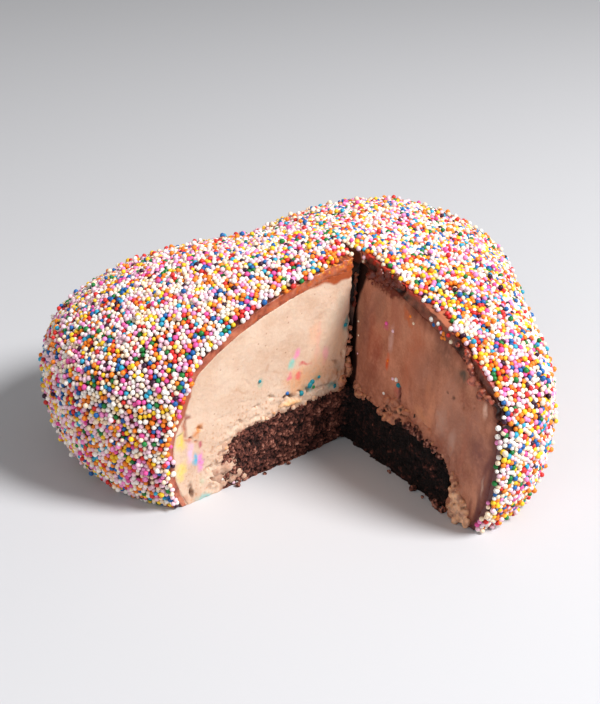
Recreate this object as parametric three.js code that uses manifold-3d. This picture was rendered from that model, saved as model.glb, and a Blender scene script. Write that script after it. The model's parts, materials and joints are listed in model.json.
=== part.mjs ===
// Heart-shaped chocolate ice-cream cake with one slice cut out of it.
//
// Three pieces, as such a cake is put together: a crumbly chocolate sponge that stands on the
// board, chocolate ice cream frozen over and around it in a domed heart mould, and a poured
// chocolate shell over the top and sides. A knife took one slice from the tip to the left flank,
// and ran a little past the corner where its two cuts meet.
//
// Millimetres, +Z up, underside at Z = 0. +X runs from lobe to lobe, +Y towards the cleft, and
// the tip of the heart points to -Y.

import * as THREE from 'three';
import { mergeVertices } from 'three/addons/utils/BufferGeometryUtils.js';
import Module from 'manifold-3d';

// Heart outline at its widest level: two round lobes, each drawn in to one round tip
const HEART_HALF_WIDTH = 98.7;
const LOBE_X = 43;
const LOBE_Y = 32.2;
const LOBE_RADIUS = HEART_HALF_WIDTH - LOBE_X;
const TIP_Y = -49.5;
const TIP_RADIUS = 36.6;
const CLEFT_ROUNDING = 7;

// Side and dome
const WIDEST_Z = 31.2;
const DOME_Z = 79.6;
const DOME_FULLNESS = 4.03;
const SHOULDER_ROUNDNESS = 1.19;
const SHOULDER_BACK_TO_FRONT = 0.1;
const FOOT_TUCK = 0.12;
const FOOT_CURVE = 2.4;
const CROWN_RADIUS = 64;
const CROWN_BLEND = 3.35;
const CENTRE_Y = -5.9;
const CROWN_SHIFT_Y = 11.8;

// Each lobe swells up towards the back
const SWELL_HEIGHT = 13.9;
const SWELL_X = 71.4;
const SWELL_Y = 42.3;
const SWELL_SPREAD = 32.4;

// Chocolate shell and the gap left between touching pieces
const SHELL_SIDE = 2.4;
const SHELL_TOP = 4.6;
const GAP = 0.3;

// Sponge: a smaller, lower heart under the ice cream, not quite in its middle
const SPONGE_SCALE = 0.73;
const SPONGE_SHIFT_X = 4;
const SPONGE_SHIFT_Y = -1;
const SPONGE_FOOT_TUCK = 2;
const SPONGE_HEIGHT = 23;
const SPONGE_SLOPE = 0.05;
const SPONGE_CORNER = 9;
const SPONGE_RAGGED = 0.9;

// The slice: two cuts that meet at a corner, both leaning with the knife
const CORNER_X = -0.6;
const CORNER_Y = -2;
const LEFT_CUT_DEGREES = -88.7;
const RIGHT_CUT_DEGREES = -6;
const KNIFE_LEAN = 0.12;
const CUT_REACH = 170;

// Where the knife ran past the corner: height, width and depth of the slit
const SLIT_SECTIONS = [
  { z: 26.5, width: 2.2, depth: 6 },
  { z: 58, width: 3.2, depth: 10 },
  { z: 110, width: 8.5, depth: 22 },
];

// Mesh fineness
const SEGMENTS = 84;
const FOOT_RINGS = 5;
const DOME_RINGS = 12;
const RING_CROWDING = 1.7;
const CORNER_RINGS = 4;
const CUT_MARGIN = 5;
const BISECTIONS = 24;

const wasm = await Module();
wasm.setup();

// Distance to a shape of two unequal circles and the two straight lines that touch both
function taperDistance(x, y, lobeX) {
  const length = Math.hypot(lobeX, LOBE_Y - TIP_Y);
  const alongX = -lobeX / length;
  const alongY = (TIP_Y - LOBE_Y) / length;
  const dx = x - lobeX;
  const dy = y - LOBE_Y;
  const along = dx * alongX + dy * alongY;
  const across = Math.abs(dy * alongX - dx * alongY);
  const sine = (LOBE_RADIUS - TIP_RADIUS) / length;
  const cosine = Math.sqrt(1 - sine * sine);
  const turn = cosine * along - sine * across;
  if (turn < 0) return Math.hypot(across, along) - LOBE_RADIUS;
  if (turn > cosine * length) return Math.hypot(across, along - length) - TIP_RADIUS;
  return across * cosine + along * sine - LOBE_RADIUS;
}

// Signed distance to the heart outline, below zero inside, with the cleft filled by a small round
function heartDistance(x, y) {
  const right = taperDistance(x, y, LOBE_X);
  const left = taperDistance(x, y, -LOBE_X);
  const overlap = Math.max(CLEFT_ROUNDING - Math.abs(right - left), 0) / CLEFT_ROUNDING;
  return Math.min(right, left) - (overlap * overlap * CLEFT_ROUNDING) / 4;
}

// How far the outline, moved in by inset, lies from the centre at an angle measured from +Y to +X
function heartReach(angle, inset) {
  let inside = 0;
  let outside = 2 * HEART_HALF_WIDTH;
  for (let i = 0; i < BISECTIONS; i += 1) {
    const middle = (inside + outside) / 2;
    const x = middle * Math.sin(angle);
    const y = CENTRE_Y + middle * Math.cos(angle);
    if (heartDistance(x, y) < -inset) inside = middle;
    else outside = middle;
  }
  return (inside + outside) / 2;
}

// A point of the side below the widest level, where rise goes from 0 at the board to 1
function footPoint(angle, rise, inset) {
  const reach = heartReach(angle, inset) * (1 - FOOT_TUCK * (1 - rise) ** FOOT_CURVE);
  return new THREE.Vector3(
    reach * Math.sin(angle), CENTRE_Y + reach * Math.cos(angle), WIDEST_Z * rise);
}

// A point of the dome, where rise goes from 0 at the widest level to 1 at the crown
function domePoint(angle, rise, inset, drop) {
  const turn = (Math.PI / 2) * rise ** RING_CROWDING;
  const shoulder = SHOULDER_ROUNDNESS - SHOULDER_BACK_TO_FRONT * Math.cos(angle);
  const shrink = Math.cos(turn) ** (2 / shoulder);
  const crown = CROWN_RADIUS - inset;
  const reach = shrink * (crown + (heartReach(angle, inset) - crown) * shrink ** CROWN_BLEND);
  const x = reach * Math.sin(angle);
  const y = reach * Math.cos(angle) + CROWN_SHIFT_Y * (1 - shrink) + CENTRE_Y;
  const climb = DOME_Z - drop - WIDEST_Z;
  const away = (Math.abs(x) - SWELL_X) ** 2 + (y - SWELL_Y) ** 2;
  const swell = SWELL_HEIGHT * Math.exp(-away / (2 * SWELL_SPREAD ** 2)) * (1 - shrink ** 4);
  return new THREE.Vector3(x, y, WIDEST_Z + climb * Math.sin(turn) ** (2 / DOME_FULLNESS) + swell);
}

function ringOf(pointAt) {
  return Array.from({ length: SEGMENTS }, (_, i) => pointAt((2 * Math.PI * i) / SEGMENTS));
}

// Rings from the foot up to the crown of the heart, inset at the sides and dropped at the top
function heartRings(inset, drop) {
  const rings = [];
  for (let i = 0; i < FOOT_RINGS; i += 1) {
    rings.push(ringOf((angle) => footPoint(angle, i / FOOT_RINGS, inset)));
  }
  for (let i = 0; i < DOME_RINGS; i += 1) {
    rings.push(ringOf((angle) => domePoint(angle, i / DOME_RINGS, inset, drop)));
  }
  return rings;
}

// Rings of the sponge, grown by the given amount: a straight side, a rounded top edge, a flat top
function spongeRings(grow) {
  const pointAt = (angle, pullIn, z) => {
    const ragged = SPONGE_RAGGED * (Math.sin(5 * angle + 1) + 0.6 * Math.sin(11 * angle));
    const reach = SPONGE_SCALE * heartReach(angle, 0) + ragged + grow - pullIn;
    const x = SPONGE_SHIFT_X + reach * Math.sin(angle);
    const y = SPONGE_SHIFT_Y + CENTRE_Y + reach * Math.cos(angle);
    return new THREE.Vector3(x, y, z === 0 ? 0 : z + grow + SPONGE_SLOPE * y);
  };
  const rings = [ringOf((angle) => pointAt(angle, SPONGE_FOOT_TUCK, 0))];
  for (let i = 0; i <= CORNER_RINGS; i += 1) {
    const turn = (Math.PI / 2) * (i / CORNER_RINGS);
    const pullIn = SPONGE_CORNER * (1 - Math.cos(turn));
    const z = SPONGE_HEIGHT - SPONGE_CORNER * (1 - Math.sin(turn));
    rings.push(ringOf((angle) => pointAt(angle, pullIn, z)));
  }
  return rings;
}

function middleOf(ring) {
  const sum = ring.reduce((total, point) => total.add(point), new THREE.Vector3());
  return sum.divideScalar(ring.length);
}

// A closed solid through a stack of rings that run clockwise seen from above
function solidThrough(rings, crown = middleOf(rings.at(-1))) {
  const corners = [];
  const count = rings[0].length;
  const foot = middleOf(rings[0]);
  for (let i = 0; i < count; i += 1) {
    const j = (i + 1) % count;
    corners.push(foot, rings[0][i], rings[0][j]);
    corners.push(crown, rings.at(-1)[j], rings.at(-1)[i]);
    for (let k = 0; k + 1 < rings.length; k += 1) {
      corners.push(rings[k][i], rings[k + 1][i], rings[k + 1][j]);
      corners.push(rings[k][i], rings[k + 1][j], rings[k][j]);
    }
  }
  return toManifold(new THREE.BufferGeometry().setFromPoints(corners));
}

function toManifold(geometry) {
  const merged = mergeVertices(geometry, 1e-4);
  return new wasm.Manifold(new wasm.Mesh({
    numProp: 3,
    vertProperties: new Float32Array(merged.attributes.position.array),
    triVerts: new Uint32Array(merged.index.array),
  }));
}

function toGeometry(solid) {
  const mesh = solid.getMesh();
  const geometry = new THREE.BufferGeometry();
  geometry.setAttribute('position', new THREE.BufferAttribute(mesh.vertProperties, mesh.numProp));
  geometry.setIndex(new THREE.BufferAttribute(mesh.triVerts, 1));
  const flat = geometry.toNonIndexed();
  flat.computeVertexNormals();
  return flat;
}

function heartSolid(inset, drop) {
  return solidThrough(heartRings(inset, drop), domePoint(0, 1, inset, drop));
}

// The hollow of the shell: the heart moved in, and carried down through the underside
function shellHollow() {
  const rings = heartRings(SHELL_SIDE, SHELL_TOP);
  const below = rings[0].map((point) => new THREE.Vector3(point.x, point.y, -CUT_MARGIN));
  return solidThrough([below, ...rings], domePoint(0, 1, SHELL_SIDE, SHELL_TOP));
}

// The hollow that holds the sponge, carried down through the underside
function spongeHollow() {
  const rings = spongeRings(GAP);
  const below = rings[0].map((point) => new THREE.Vector3(point.x, point.y, -CUT_MARGIN));
  return solidThrough([below, ...rings]);
}

// Direction of a cut, turned from the tip of the heart towards +X
function cutDirection(degrees) {
  const angle = THREE.MathUtils.degToRad(degrees);
  return new THREE.Vector3(Math.sin(angle), -Math.cos(angle), 0);
}

// The corner of the slice at a height, as the knife leaned
function sliceCorner(z) {
  return new THREE.Vector3(CORNER_X, CORNER_Y - KNIFE_LEAN * z, z);
}

function sliceSolid() {
  const left = cutDirection(LEFT_CUT_DEGREES).multiplyScalar(CUT_REACH);
  const right = cutDirection(RIGHT_CUT_DEGREES).multiplyScalar(CUT_REACH);
  const rings = [-CUT_MARGIN, DOME_Z + 4 * CUT_MARGIN].map((z) => {
    const corner = sliceCorner(z);
    const far = corner.clone().add(left).add(right);
    return [corner, corner.clone().add(right), far, corner.clone().add(left)];
  });
  return solidThrough(rings);
}

// The slit starts inside the slice, so that the two run into each other
function slitSolid() {
  const rings = SLIT_SECTIONS.map(({ z, width, depth }) => {
    const corner = sliceCorner(z);
    const at = (dx, dy) => new THREE.Vector3(corner.x + dx, corner.y + dy, z);
    return [at(0, -GAP), at(-width, -GAP), at(-width, 0), at(-width / 2, depth), at(0, 0)];
  });
  return solidThrough(rings);
}

const slice = sliceSolid();
const slit = slitSolid();
const carve = (solid, ...cutters) => cutters.reduce((rest, cutter) => rest.subtract(cutter), solid);

const shellBody = carve(heartSolid(0, 0), shellHollow(), slice, slit);
const creamBody = carve(
  heartSolid(SHELL_SIDE + GAP, SHELL_TOP + GAP), spongeHollow(), slice, slit);
const spongeBody = carve(solidThrough(spongeRings(0)), slice);

const shellFinish = new THREE.MeshStandardMaterial({ color: 0x6b3626, roughness: 0.45 });
const creamFinish = new THREE.MeshStandardMaterial({ color: 0xc59c7c, roughness: 0.6 });
const spongeFinish = new THREE.MeshStandardMaterial({ color: 0x2c1912, roughness: 0.95 });

function namedMesh(name, solid, finish) {
  const mesh = new THREE.Mesh(toGeometry(solid), finish);
  mesh.name = name;
  return mesh;
}

const cake = new THREE.Group();
cake.add(
  namedMesh('chocolate_shell', shellBody, shellFinish),
  namedMesh('ice_cream', creamBody, creamFinish),
  namedMesh('sponge_base', spongeBody, spongeFinish),
);

export default cake;
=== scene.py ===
# Heart-shaped chocolate ice-cream cake with one slice cut out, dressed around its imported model.
#
# The sections follow the cake as it is made: sponge, ice cream, chocolate shell, sugar beads,
# and last what the knife tore loose. Everything is in metres, in the model's own frame. Only the
# sizes of noise and places on a cut face are in millimetres, and those are not times MM.

import json
import math
from contextlib import contextmanager

import bpy
import numpy as np
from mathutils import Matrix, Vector, noise
from mathutils.bvhtree import BVHTree
from mathutils.kdtree import KDTree

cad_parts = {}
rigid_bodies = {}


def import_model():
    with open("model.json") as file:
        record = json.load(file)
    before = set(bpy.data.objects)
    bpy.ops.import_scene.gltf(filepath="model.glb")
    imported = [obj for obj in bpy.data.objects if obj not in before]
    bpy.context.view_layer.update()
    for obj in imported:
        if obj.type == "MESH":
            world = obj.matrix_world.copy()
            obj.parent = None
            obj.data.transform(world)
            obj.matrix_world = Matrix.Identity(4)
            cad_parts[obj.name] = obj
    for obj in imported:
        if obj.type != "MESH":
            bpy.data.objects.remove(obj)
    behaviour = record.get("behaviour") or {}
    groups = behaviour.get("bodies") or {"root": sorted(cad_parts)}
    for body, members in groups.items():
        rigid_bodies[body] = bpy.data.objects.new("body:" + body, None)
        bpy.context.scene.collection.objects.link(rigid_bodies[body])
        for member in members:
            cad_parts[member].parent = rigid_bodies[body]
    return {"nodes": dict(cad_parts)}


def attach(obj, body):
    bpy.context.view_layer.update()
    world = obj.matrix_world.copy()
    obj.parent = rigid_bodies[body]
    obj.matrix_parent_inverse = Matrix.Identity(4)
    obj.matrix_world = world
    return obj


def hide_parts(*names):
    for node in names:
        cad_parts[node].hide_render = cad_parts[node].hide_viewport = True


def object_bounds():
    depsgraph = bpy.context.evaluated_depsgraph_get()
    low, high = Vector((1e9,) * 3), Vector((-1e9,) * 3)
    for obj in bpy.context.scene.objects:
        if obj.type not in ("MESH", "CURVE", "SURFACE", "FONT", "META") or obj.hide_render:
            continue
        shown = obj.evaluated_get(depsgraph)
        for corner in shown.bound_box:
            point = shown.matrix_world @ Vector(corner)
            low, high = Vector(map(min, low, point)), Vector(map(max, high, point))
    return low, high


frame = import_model()
model_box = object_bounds()
MM = 0.001


# --- Chocolate sponge -------------------------------------------------------------------------
# A low heart of dark, open chocolate sponge that stands on the board. It is baked, trimmed and
# set in the mould before the ice cream, and its two cut sides show a torn, crumbly inside.

# The slice: the corner where its two cuts meet, how far they lean towards the heart's tip for
# each unit of height, and which way they run, turned from the way to the tip
CORNER = np.array((-0.6, -2.0, 0.0)) * MM
KNIFE_LEAN = 0.12
LEFT_BEARING, RIGHT_BEARING = math.radians(-88.7), math.radians(-6.0)
# The sponge's mesh: its cell, and how finely it is divided within a band beside each cut
CRUMB_CELL = 1.2 * MM
TORN_BAND, TORN_CUTS = 2.5, 4
# Sizes of its lumps, crumbs and patches. The holes between them: how far apart they are, their
# size as a share of that, and their depth
SPONGE_LUMP, LARGE_CRUMB, SMALL_CRUMB, SPONGE_PATCH = 3.3, 1.5, 0.8, 7.0
CRUMB_HOLE_SPACING, CRUMB_HOLE_SIZE, CRUMB_HOLE_DEPTH = 3.0, 0.32, 1.5
# How far the cut faces lie back, and how far the rest swells into the ice cream
CRUMB_SETBACK, SPONGE_SWELL = 0.5, 0.9
# How light the crumb is, how much painted shade darkens the right cut that faces away from the lamp, and
# how much painted light, as from the board, lightens the foot, up to its height
CRUMB_LIGHT, RIGHT_CUT_SHADE, FOOT_BOUNCE_LIGHT = 0.39, 0.29, 0.08
FOOT_HEIGHT = 5 * MM
# From dark to light: painted shade in the pits, the crumb's browns, and painted highlights on lit flecks
SPONGE_PIT_SHADE = "#0E0605"
SPONGE_DARK = "#2C1410"
SPONGE_BROWN = "#532B23"
SPONGE_LIGHT = "#7E4A3C"
SPONGE_FLECK_HIGHLIGHT = "#B07A68"


class Cut:
    """One cut of the knife: a leaning plane from the corner of the slice outwards."""

    def __init__(self, bearing, into_cake):
        self.along = np.array((math.sin(bearing), -math.cos(bearing), 0.0))
        self.up = np.array((0.0, -KNIFE_LEAN, 1.0))
        inward = np.cross(self.along, self.up) * into_cake
        self.inward = inward / np.linalg.norm(inward)

    def point(self, along, height, depth=0.0):
        """Places at lengths along the cut, heights and depths into the cake, all in mm."""
        along, height, depth = (np.asarray(value)[..., None] for value in (along, height, depth))
        return CORNER + (self.along * along + self.up * height + self.inward * depth) * MM

    def read(self, places):
        """The lengths along the cut, heights and depths of places, in mm."""
        offset = (np.asarray(places) - CORNER) / MM
        height = offset[..., 2]
        offset = offset - height[..., None] * self.up
        return offset @ self.along, height, offset @ self.inward


left_cut = Cut(LEFT_BEARING, 1)
right_cut = Cut(RIGHT_BEARING, -1)


def set_alone(piece):
    """Selects one piece and nothing else, ready for an operator."""
    bpy.ops.object.select_all(action="DESELECT")
    piece.select_set(True)
    bpy.context.view_layer.objects.active = piece


def apply_modifier(piece, kind, **settings):
    """Adds a modifier with its settings and applies it."""
    set_alone(piece)
    modifier = piece.modifiers.new(kind.title(), kind)
    for name, value in settings.items():
        setattr(modifier, name, value)
    bpy.ops.object.modifier_apply(modifier=modifier.name)


@contextmanager
def edit_mode(piece, select=None):
    """Opens a piece for editing, with all or none of it selected where that is asked for."""
    set_alone(piece)
    bpy.ops.object.mode_set(mode="EDIT")
    if select:
        bpy.ops.mesh.select_all(action=select)
    yield
    bpy.ops.object.mode_set(mode="OBJECT")


def copy_of_node(node, name):
    """A welded copy of a model node, as a new piece."""
    piece = bpy.data.objects.new(name, frame["nodes"][node].data.copy())
    piece.data.name = name
    piece.data.materials.clear()
    bpy.context.scene.collection.objects.link(piece)
    with edit_mode(piece, "SELECT"):
        bpy.ops.mesh.remove_doubles(threshold=0.001 * MM)
    return piece


def get_places(piece):
    """Where a piece's vertices are, one row of x, y and z for each."""
    places = np.empty((len(piece.data.vertices), 3), dtype=np.float32)
    piece.data.vertices.foreach_get("co", places.ravel())
    return places.astype(float)


def set_places(piece, places):
    """Moves a piece's vertices to new places."""
    piece.data.vertices.foreach_set("co", places.astype(np.float32).ravel())
    piece.data.update()


def get_normals(piece):
    """Which way a piece's surface faces at each vertex."""
    normals = np.empty((len(piece.data.vertices), 3), dtype=np.float32)
    piece.data.vertex_normals.foreach_get("vector", normals.ravel())
    return normals.astype(float)


def keep_values(piece, name, values):
    """Stores one number for each vertex, for the piece's material to read."""
    attribute = piece.data.attributes.new(name, "FLOAT", "POINT")
    attribute.data.foreach_set("value", np.asarray(values, dtype=np.float32))


def keep_colours(piece, name, colours):
    """Stores one linear RGBA colour for each vertex, for the piece's material to read."""
    attribute = piece.data.attributes.new(name, "FLOAT_COLOR", "POINT")
    attribute.data.foreach_set("color", colours.astype(np.float32).ravel())


def refine_near_cuts(piece, band, cuts):
    """Divides the faces within band mm of either cut, where fine relief will show."""
    with edit_mode(piece, "DESELECT"):
        bpy.ops.mesh.select_mode(type="FACE")
    faces = piece.data.polygons
    centres = np.array([face.center for face in faces])
    near = np.zeros(len(faces), dtype=bool)
    for cut in (left_cut, right_cut):
        along, _, depth = cut.read(centres)
        near |= (along > -band) & (np.abs(depth) < band)
    faces.foreach_set("select", near)
    with edit_mode(piece):
        bpy.ops.mesh.subdivide(number_cuts=cuts)


def noise_at(places, size):
    """Soft noise from -1 to 1 at places, with lumps of a size in mm."""
    return np.array([noise.noise(Vector(place)) for place in places / (size * MM)])


def crumbs_at(places, size):
    """Rounded crumbs of a size in mm: how proud each place stands in its crumb, and a number from
    -1 to 1 of the crumb's own.
    """
    proud, own = np.empty(len(places)), np.empty(len(places))
    for i, place in enumerate(places / (size * MM)):
        near, centres = noise.voronoi(Vector(place))
        proud[i], own[i] = 0.6 - near[0], noise.noise(centres[0] * 3.7)
    return proud, own


def torn_sponge(places):
    """How far torn sponge stands proud at places, in mm, and how light it is from 0 to 1, with painted
    shade in its holes and painted light on its proud crumbs.
    """
    large, large_own = crumbs_at(places, LARGE_CRUMB)
    small, small_own = crumbs_at(places, SMALL_CRUMB)
    holes, _ = crumbs_at(places, CRUMB_HOLE_SPACING)
    relief = 0.9 * noise_at(places, SPONGE_LUMP) + 0.7 * large + 0.6 * large_own
    relief = relief + 0.4 * small + 0.35 * small_own
    relief -= CRUMB_HOLE_DEPTH * np.clip((holes - 0.6 + CRUMB_HOLE_SIZE) / CRUMB_HOLE_SIZE, 0, 1)
    # Painted shade and light: the deeper a place lies, the darker it is, so the holes are darkest
    light = CRUMB_LIGHT + 0.18 * relief + 0.12 * large_own + 0.2 * small_own
    return relief, light


def linear(hex_colour):
    """An sRGB hex colour as linear RGBA."""
    channels = [int(hex_colour[i:i + 2], 16) / 255 for i in (1, 3, 5)]
    return [c / 12.92 if c <= 0.04045 else ((c + 0.055) / 1.055) ** 2.4 for c in channels] + [1.0]


def new_material(name, **shader_values):
    """A material with its shader's plain values set, and its node tree and shader."""
    material = bpy.data.materials.new(name)
    material.use_nodes = True
    shader = material.node_tree.nodes["Principled BSDF"]
    for socket, value in shader_values.items():
        shader.inputs[socket.replace("_", " ")].default_value = value
    return material, material.node_tree, shader


def add_node(tree, kind, inputs, stops=(), **settings):
    """Adds a node. Its inputs are plain values or sockets to link, and stops are a ramp's colours,
    the first and the last of them given first.
    """
    node = tree.nodes.new(kind)
    for name, value in settings.items():
        setattr(node, name, value)
    for key, value in inputs.items():
        if isinstance(value, bpy.types.NodeSocket):
            tree.links.new(value, node.inputs[key])
        else:
            node.inputs[key].default_value = value
    for step, (position, colour) in enumerate(stops):
        elements = node.color_ramp.elements
        element = elements[-step] if step < 2 else elements.new(position)
        element.position, element.color = position, linear(colour)
    return node


def roughen(tree, shader, place, size, detail, height, strength=1.0):
    """Gives a material a fine relief of grains of a size and a height, drawn as bumps."""
    grains = add_node(tree, "ShaderNodeTexNoise", {"Vector": place, "Scale": 1 / size, "Detail": detail})
    relief = add_node(tree, "ShaderNodeBump", {"Height": grains.outputs["Fac"], "Distance": height,
                                               "Strength": strength})
    tree.links.new(relief.outputs["Normal"], shader.inputs["Normal"])


def sponge_material():
    """Baked chocolate sponge, torn open: brown crumbs, near-black with painted shade in the hollows and
    with painted highlights on light flecks, quite dull.
    """
    material, tree, shader = new_material("baked_chocolate_sponge", Roughness=0.8, IOR=1.4,
                                          Specular_IOR_Level=0.35)
    place = add_node(tree, "ShaderNodeTexCoord", {}).outputs["Object"]
    light = add_node(tree, "ShaderNodeAttribute", {}, attribute_name="crumb_light").outputs["Fac"]
    speckle = add_node(tree, "ShaderNodeTexNoise", {"Vector": place, "Scale": 1 / (0.7 * MM),
                                                    "Detail": 4.0})
    shade = add_node(tree, "ShaderNodeMath", {0: speckle.outputs["Fac"], 1: 0.6, 2: light},
                     operation="MULTIPLY_ADD")
    colour = add_node(tree, "ShaderNodeValToRGB", {"Fac": shade.outputs[0]}, stops=(
        (0.42, SPONGE_PIT_SHADE), (1.0, SPONGE_FLECK_HIGHLIGHT), (0.58, SPONGE_DARK), (0.72, SPONGE_BROWN),
        (0.86, SPONGE_LIGHT)))
    tree.links.new(colour.outputs["Color"], shader.inputs["Base Color"])
    roughen(tree, shader, place, size=0.5 * MM, detail=3.0, height=0.5 * MM)
    return material


sponge = copy_of_node("sponge_base", "torn_sponge")
apply_modifier(sponge, "REMESH", mode="VOXEL", voxel_size=CRUMB_CELL, adaptivity=0.0)
refine_near_cuts(sponge, TORN_BAND, TORN_CUTS)
places, normals = get_places(sponge), get_normals(sponge)
relief, light = torn_sponge(places)
facing_cut = np.maximum(np.abs(normals @ left_cut.inward), np.abs(normals @ right_cut.inward))
swell = SPONGE_SWELL + 1.3 * noise_at(places, 9.0) + 0.9 * noise_at(places, 4.0)
places += normals * ((relief - CRUMB_SETBACK * facing_cut + swell * (1 - facing_cut)) * MM)[:, None]
places[:, 2] = np.maximum(places[:, 2], 0)
set_places(sponge, places)
# Painted light: the foot is lighter, as if lit by the board below
light += FOOT_BOUNCE_LIGHT * np.clip(1 - places[:, 2] / FOOT_HEIGHT, 0, 1)
light += 0.12 * noise_at(places, SPONGE_PATCH)
# Painted shade: the right cut is darker, as if in shadow
light -= RIGHT_CUT_SHADE * np.clip(1.3 - np.abs(right_cut.read(places)[2]) / TORN_BAND, 0, 1)
keep_values(sponge, "crumb_light", light)
sponge.data.materials.append(sponge_material())
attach(sponge, "root")
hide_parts("sponge_base")


# --- Ice cream --------------------------------------------------------------------------------
# Light-chocolate ice cream, packed into the domed heart mould over the sponge and frozen. The
# knife drew its cut faces into faint upright streaks, dragged chocolate and bead sugar over
# them, and tore the cream where it meets the sponge.

# The way out through the middle of the slice's opening, and between which lengths and heights the
# knife cuts
OPENING = (left_cut.along + right_cut.along) / np.linalg.norm(left_cut.along + right_cut.along)
LEFT_START, RIGHT_START, CUT_END = -0.5, -3.5, 100.0
CUT_FOOT, CUT_TOP = -3.0, 89.0
SLAB_THICKNESS = 5.0
# The cut ice cream: the cell of its relief, how far it lies back, and how wide it is torn beside
# the sponge
CREAM_CELL, CREAM_SETBACK, TEAR_WIDTH = 0.45, 0.75, 11.0
# How wide the slit shows on the left cut at these heights, and how deep its edge is rounded over
# what width
SLIT_HEIGHTS, SLIT_WIDTHS = (26.5, 58.0, 110.0), (2.0, 2.8, 6.5)
SLIT_ROUNDING, SLIT_ROUNDED = 1.3, 1.8
# How far past the corner the right cut starts to show beside the slit, at these heights
BESIDE_HEIGHTS, BESIDE_STARTS = (30, 39, 48, 55, 62, 70), (2.2, 0.5, -1.1, -1.8, -1.0, 1.2)
# A little more than the gap between two pieces, and how much of a piece's rim is stretched over
# it to reach just into the next one
NODE_GAP, STRETCHED_RIM = 0.36, 1.6
# The cut faces start at these lengths, and take in what lies this near to the knife's plane
LEFT_FACE, RIGHT_FACE, FACE_DEPTH = 1, -2.8, 4
# The chocolate band that shows along the left cut, at these heights: how far outwards from the
# ice cream's edge it starts, and where the beads dragged over it start
BAND_HEIGHTS = (4, 10, 18, 30, 35, 38, 45, 50, 54, 60)
BAND_INNER = (0.8, 0.5, -0.6, -0.2, -1.0, -2.8, -2.8, -1.0, 0.2, 0.2)
BAND_OUTER = (3.0, 2.4, 1.3, 1.7, 1.4, 1.4, 1.4, 1.3, 2.4, 4.6)
# How much browner the left cut is near the corner; the right one is browner all over, partly as painted
# shade on the cut that faces away from the lamp
LEFT_BROWNED = 0.15
CREAM_PALE = "#DEC2AB"
CREAM_MID = "#D2AF95"
# Browner colours of the cut ice cream: dragged chocolate, and on the right cut painted shade as well
BROWNED_AND_SHADED_PALE = "#CC8C70"
BROWNED_AND_SHADED_DARK = "#945642"
BROWNED_AND_SHADED_MID = "#B2745A"
MELTED_CHOCOLATE = "#66281B"
DRAGGED_CHOCOLATE = "#A9532F"
DRAGGED_BAND = "#AA5C43"
TORN_FOOT_TAN = "#BC937C"
TORN_GRAIN = "#C48C66"
SHADED_EDGE = "#6A3E3C"
# Painted shade, near-black, in the slit, in the crack and in the gaps between torn lumps
PAINTED_CREVICE_SHADE = "#22100B"


def surface_of(node):
    """The surface of a model node, for finding nearest points."""
    mesh = frame["nodes"][node].data
    return BVHTree.FromPolygons([vertex.co for vertex in mesh.vertices],
                                [face.vertices for face in mesh.polygons])


def distances(surface, places):
    """How far places are from a surface, in mm."""
    return np.array([surface.find_nearest(Vector(place))[3] for place in places]) / MM


sponge_surface = surface_of("sponge_base")
cream_surface = surface_of("ice_cream")
shell_surface = surface_of("chocolate_shell")


def face_noise(along, height, size, seed, stretch=1.0):
    """Soft noise from -1 to 1 over a cut face, drawn out upwards. Each seed gives its own pattern."""
    return np.array([noise.noise(Vector((a / size, h / (size * stretch), seed)))
                     for a, h in zip(along, height)])


def strayed(along, height):
    """Points of a cut face moved a little this way and that, so that marks on it lose their outline."""
    return (along + 0.9 * face_noise(along, height, 1.9, 90.0, stretch=2),
            height + 1.6 * face_noise(along, height, 2.6, 95.0))


def cover(along, height, mark):
    """How fully a mark covers points of a cut face, from 0 outside its oval to 1 at its middle."""
    at, level, length, width, slant = mark[:5]
    turn = math.radians(slant)
    across, rise = along - at, height - level
    lengthwise = (across * math.sin(turn) + rise * math.cos(turn)) / length
    crosswise = (across * math.cos(turn) - rise * math.sin(turn)) / width
    return np.maximum(0, 1 - lengthwise ** 2 - crosswise ** 2) ** 1.5


# Gouges and raised flaps of the ice cream: length along the cut, height, half-length, half-width,
# slant in degrees from upright, and depth, which is negative for a flap
LEFT_TEARS = (
    (69.5, 30.5, 2, 1, 60, 1.1), (73, 28.3, 1.6, 0.8, 40, 1), (71, 26.2, 1, 0.7, 60, 0.9),
    (75.5, 33, 5, 0.5, 5, 0.7), (72, 4.5, 2.6, 0.7, 5, 1.8), (29.3, 29, 3.4, 1, 80, 3.4),
    (28.4, 26.2, 6, 1.9, 88, -1.2), (24.5, 29.3, 2.4, 0.8, 60, 1.2), (20.5, 28.4, 2, 0.8, 20, 1.6),
    (13, 27.5, 4, 1.2, 85, 1.4), (6.5, 32, 2, 0.8, 10, 1), (5, 39, 2.5, 1, 5, 1.2),
    (33.2, 26.8, 2.9, 0.5, -47, 1.5), (64.5, 12, 2, 0.9, 30, 1.2), (63, 6.5, 2.2, 0.9, 70, 1.2),
    (50, 34.5, 4, 0.5, 75, 0.25), (60, 31.5, 4, 0.5, 85, 0.25), (50, 42, 3, 0.5, 60, 0.25),
    (44.5, 30, 2.5, 0.9, 70, 0.8), (52, 26.5, 2, 0.8, 60, 0.8), (38, 31.5, 2.2, 0.8, 75, 0.8),
)
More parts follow.
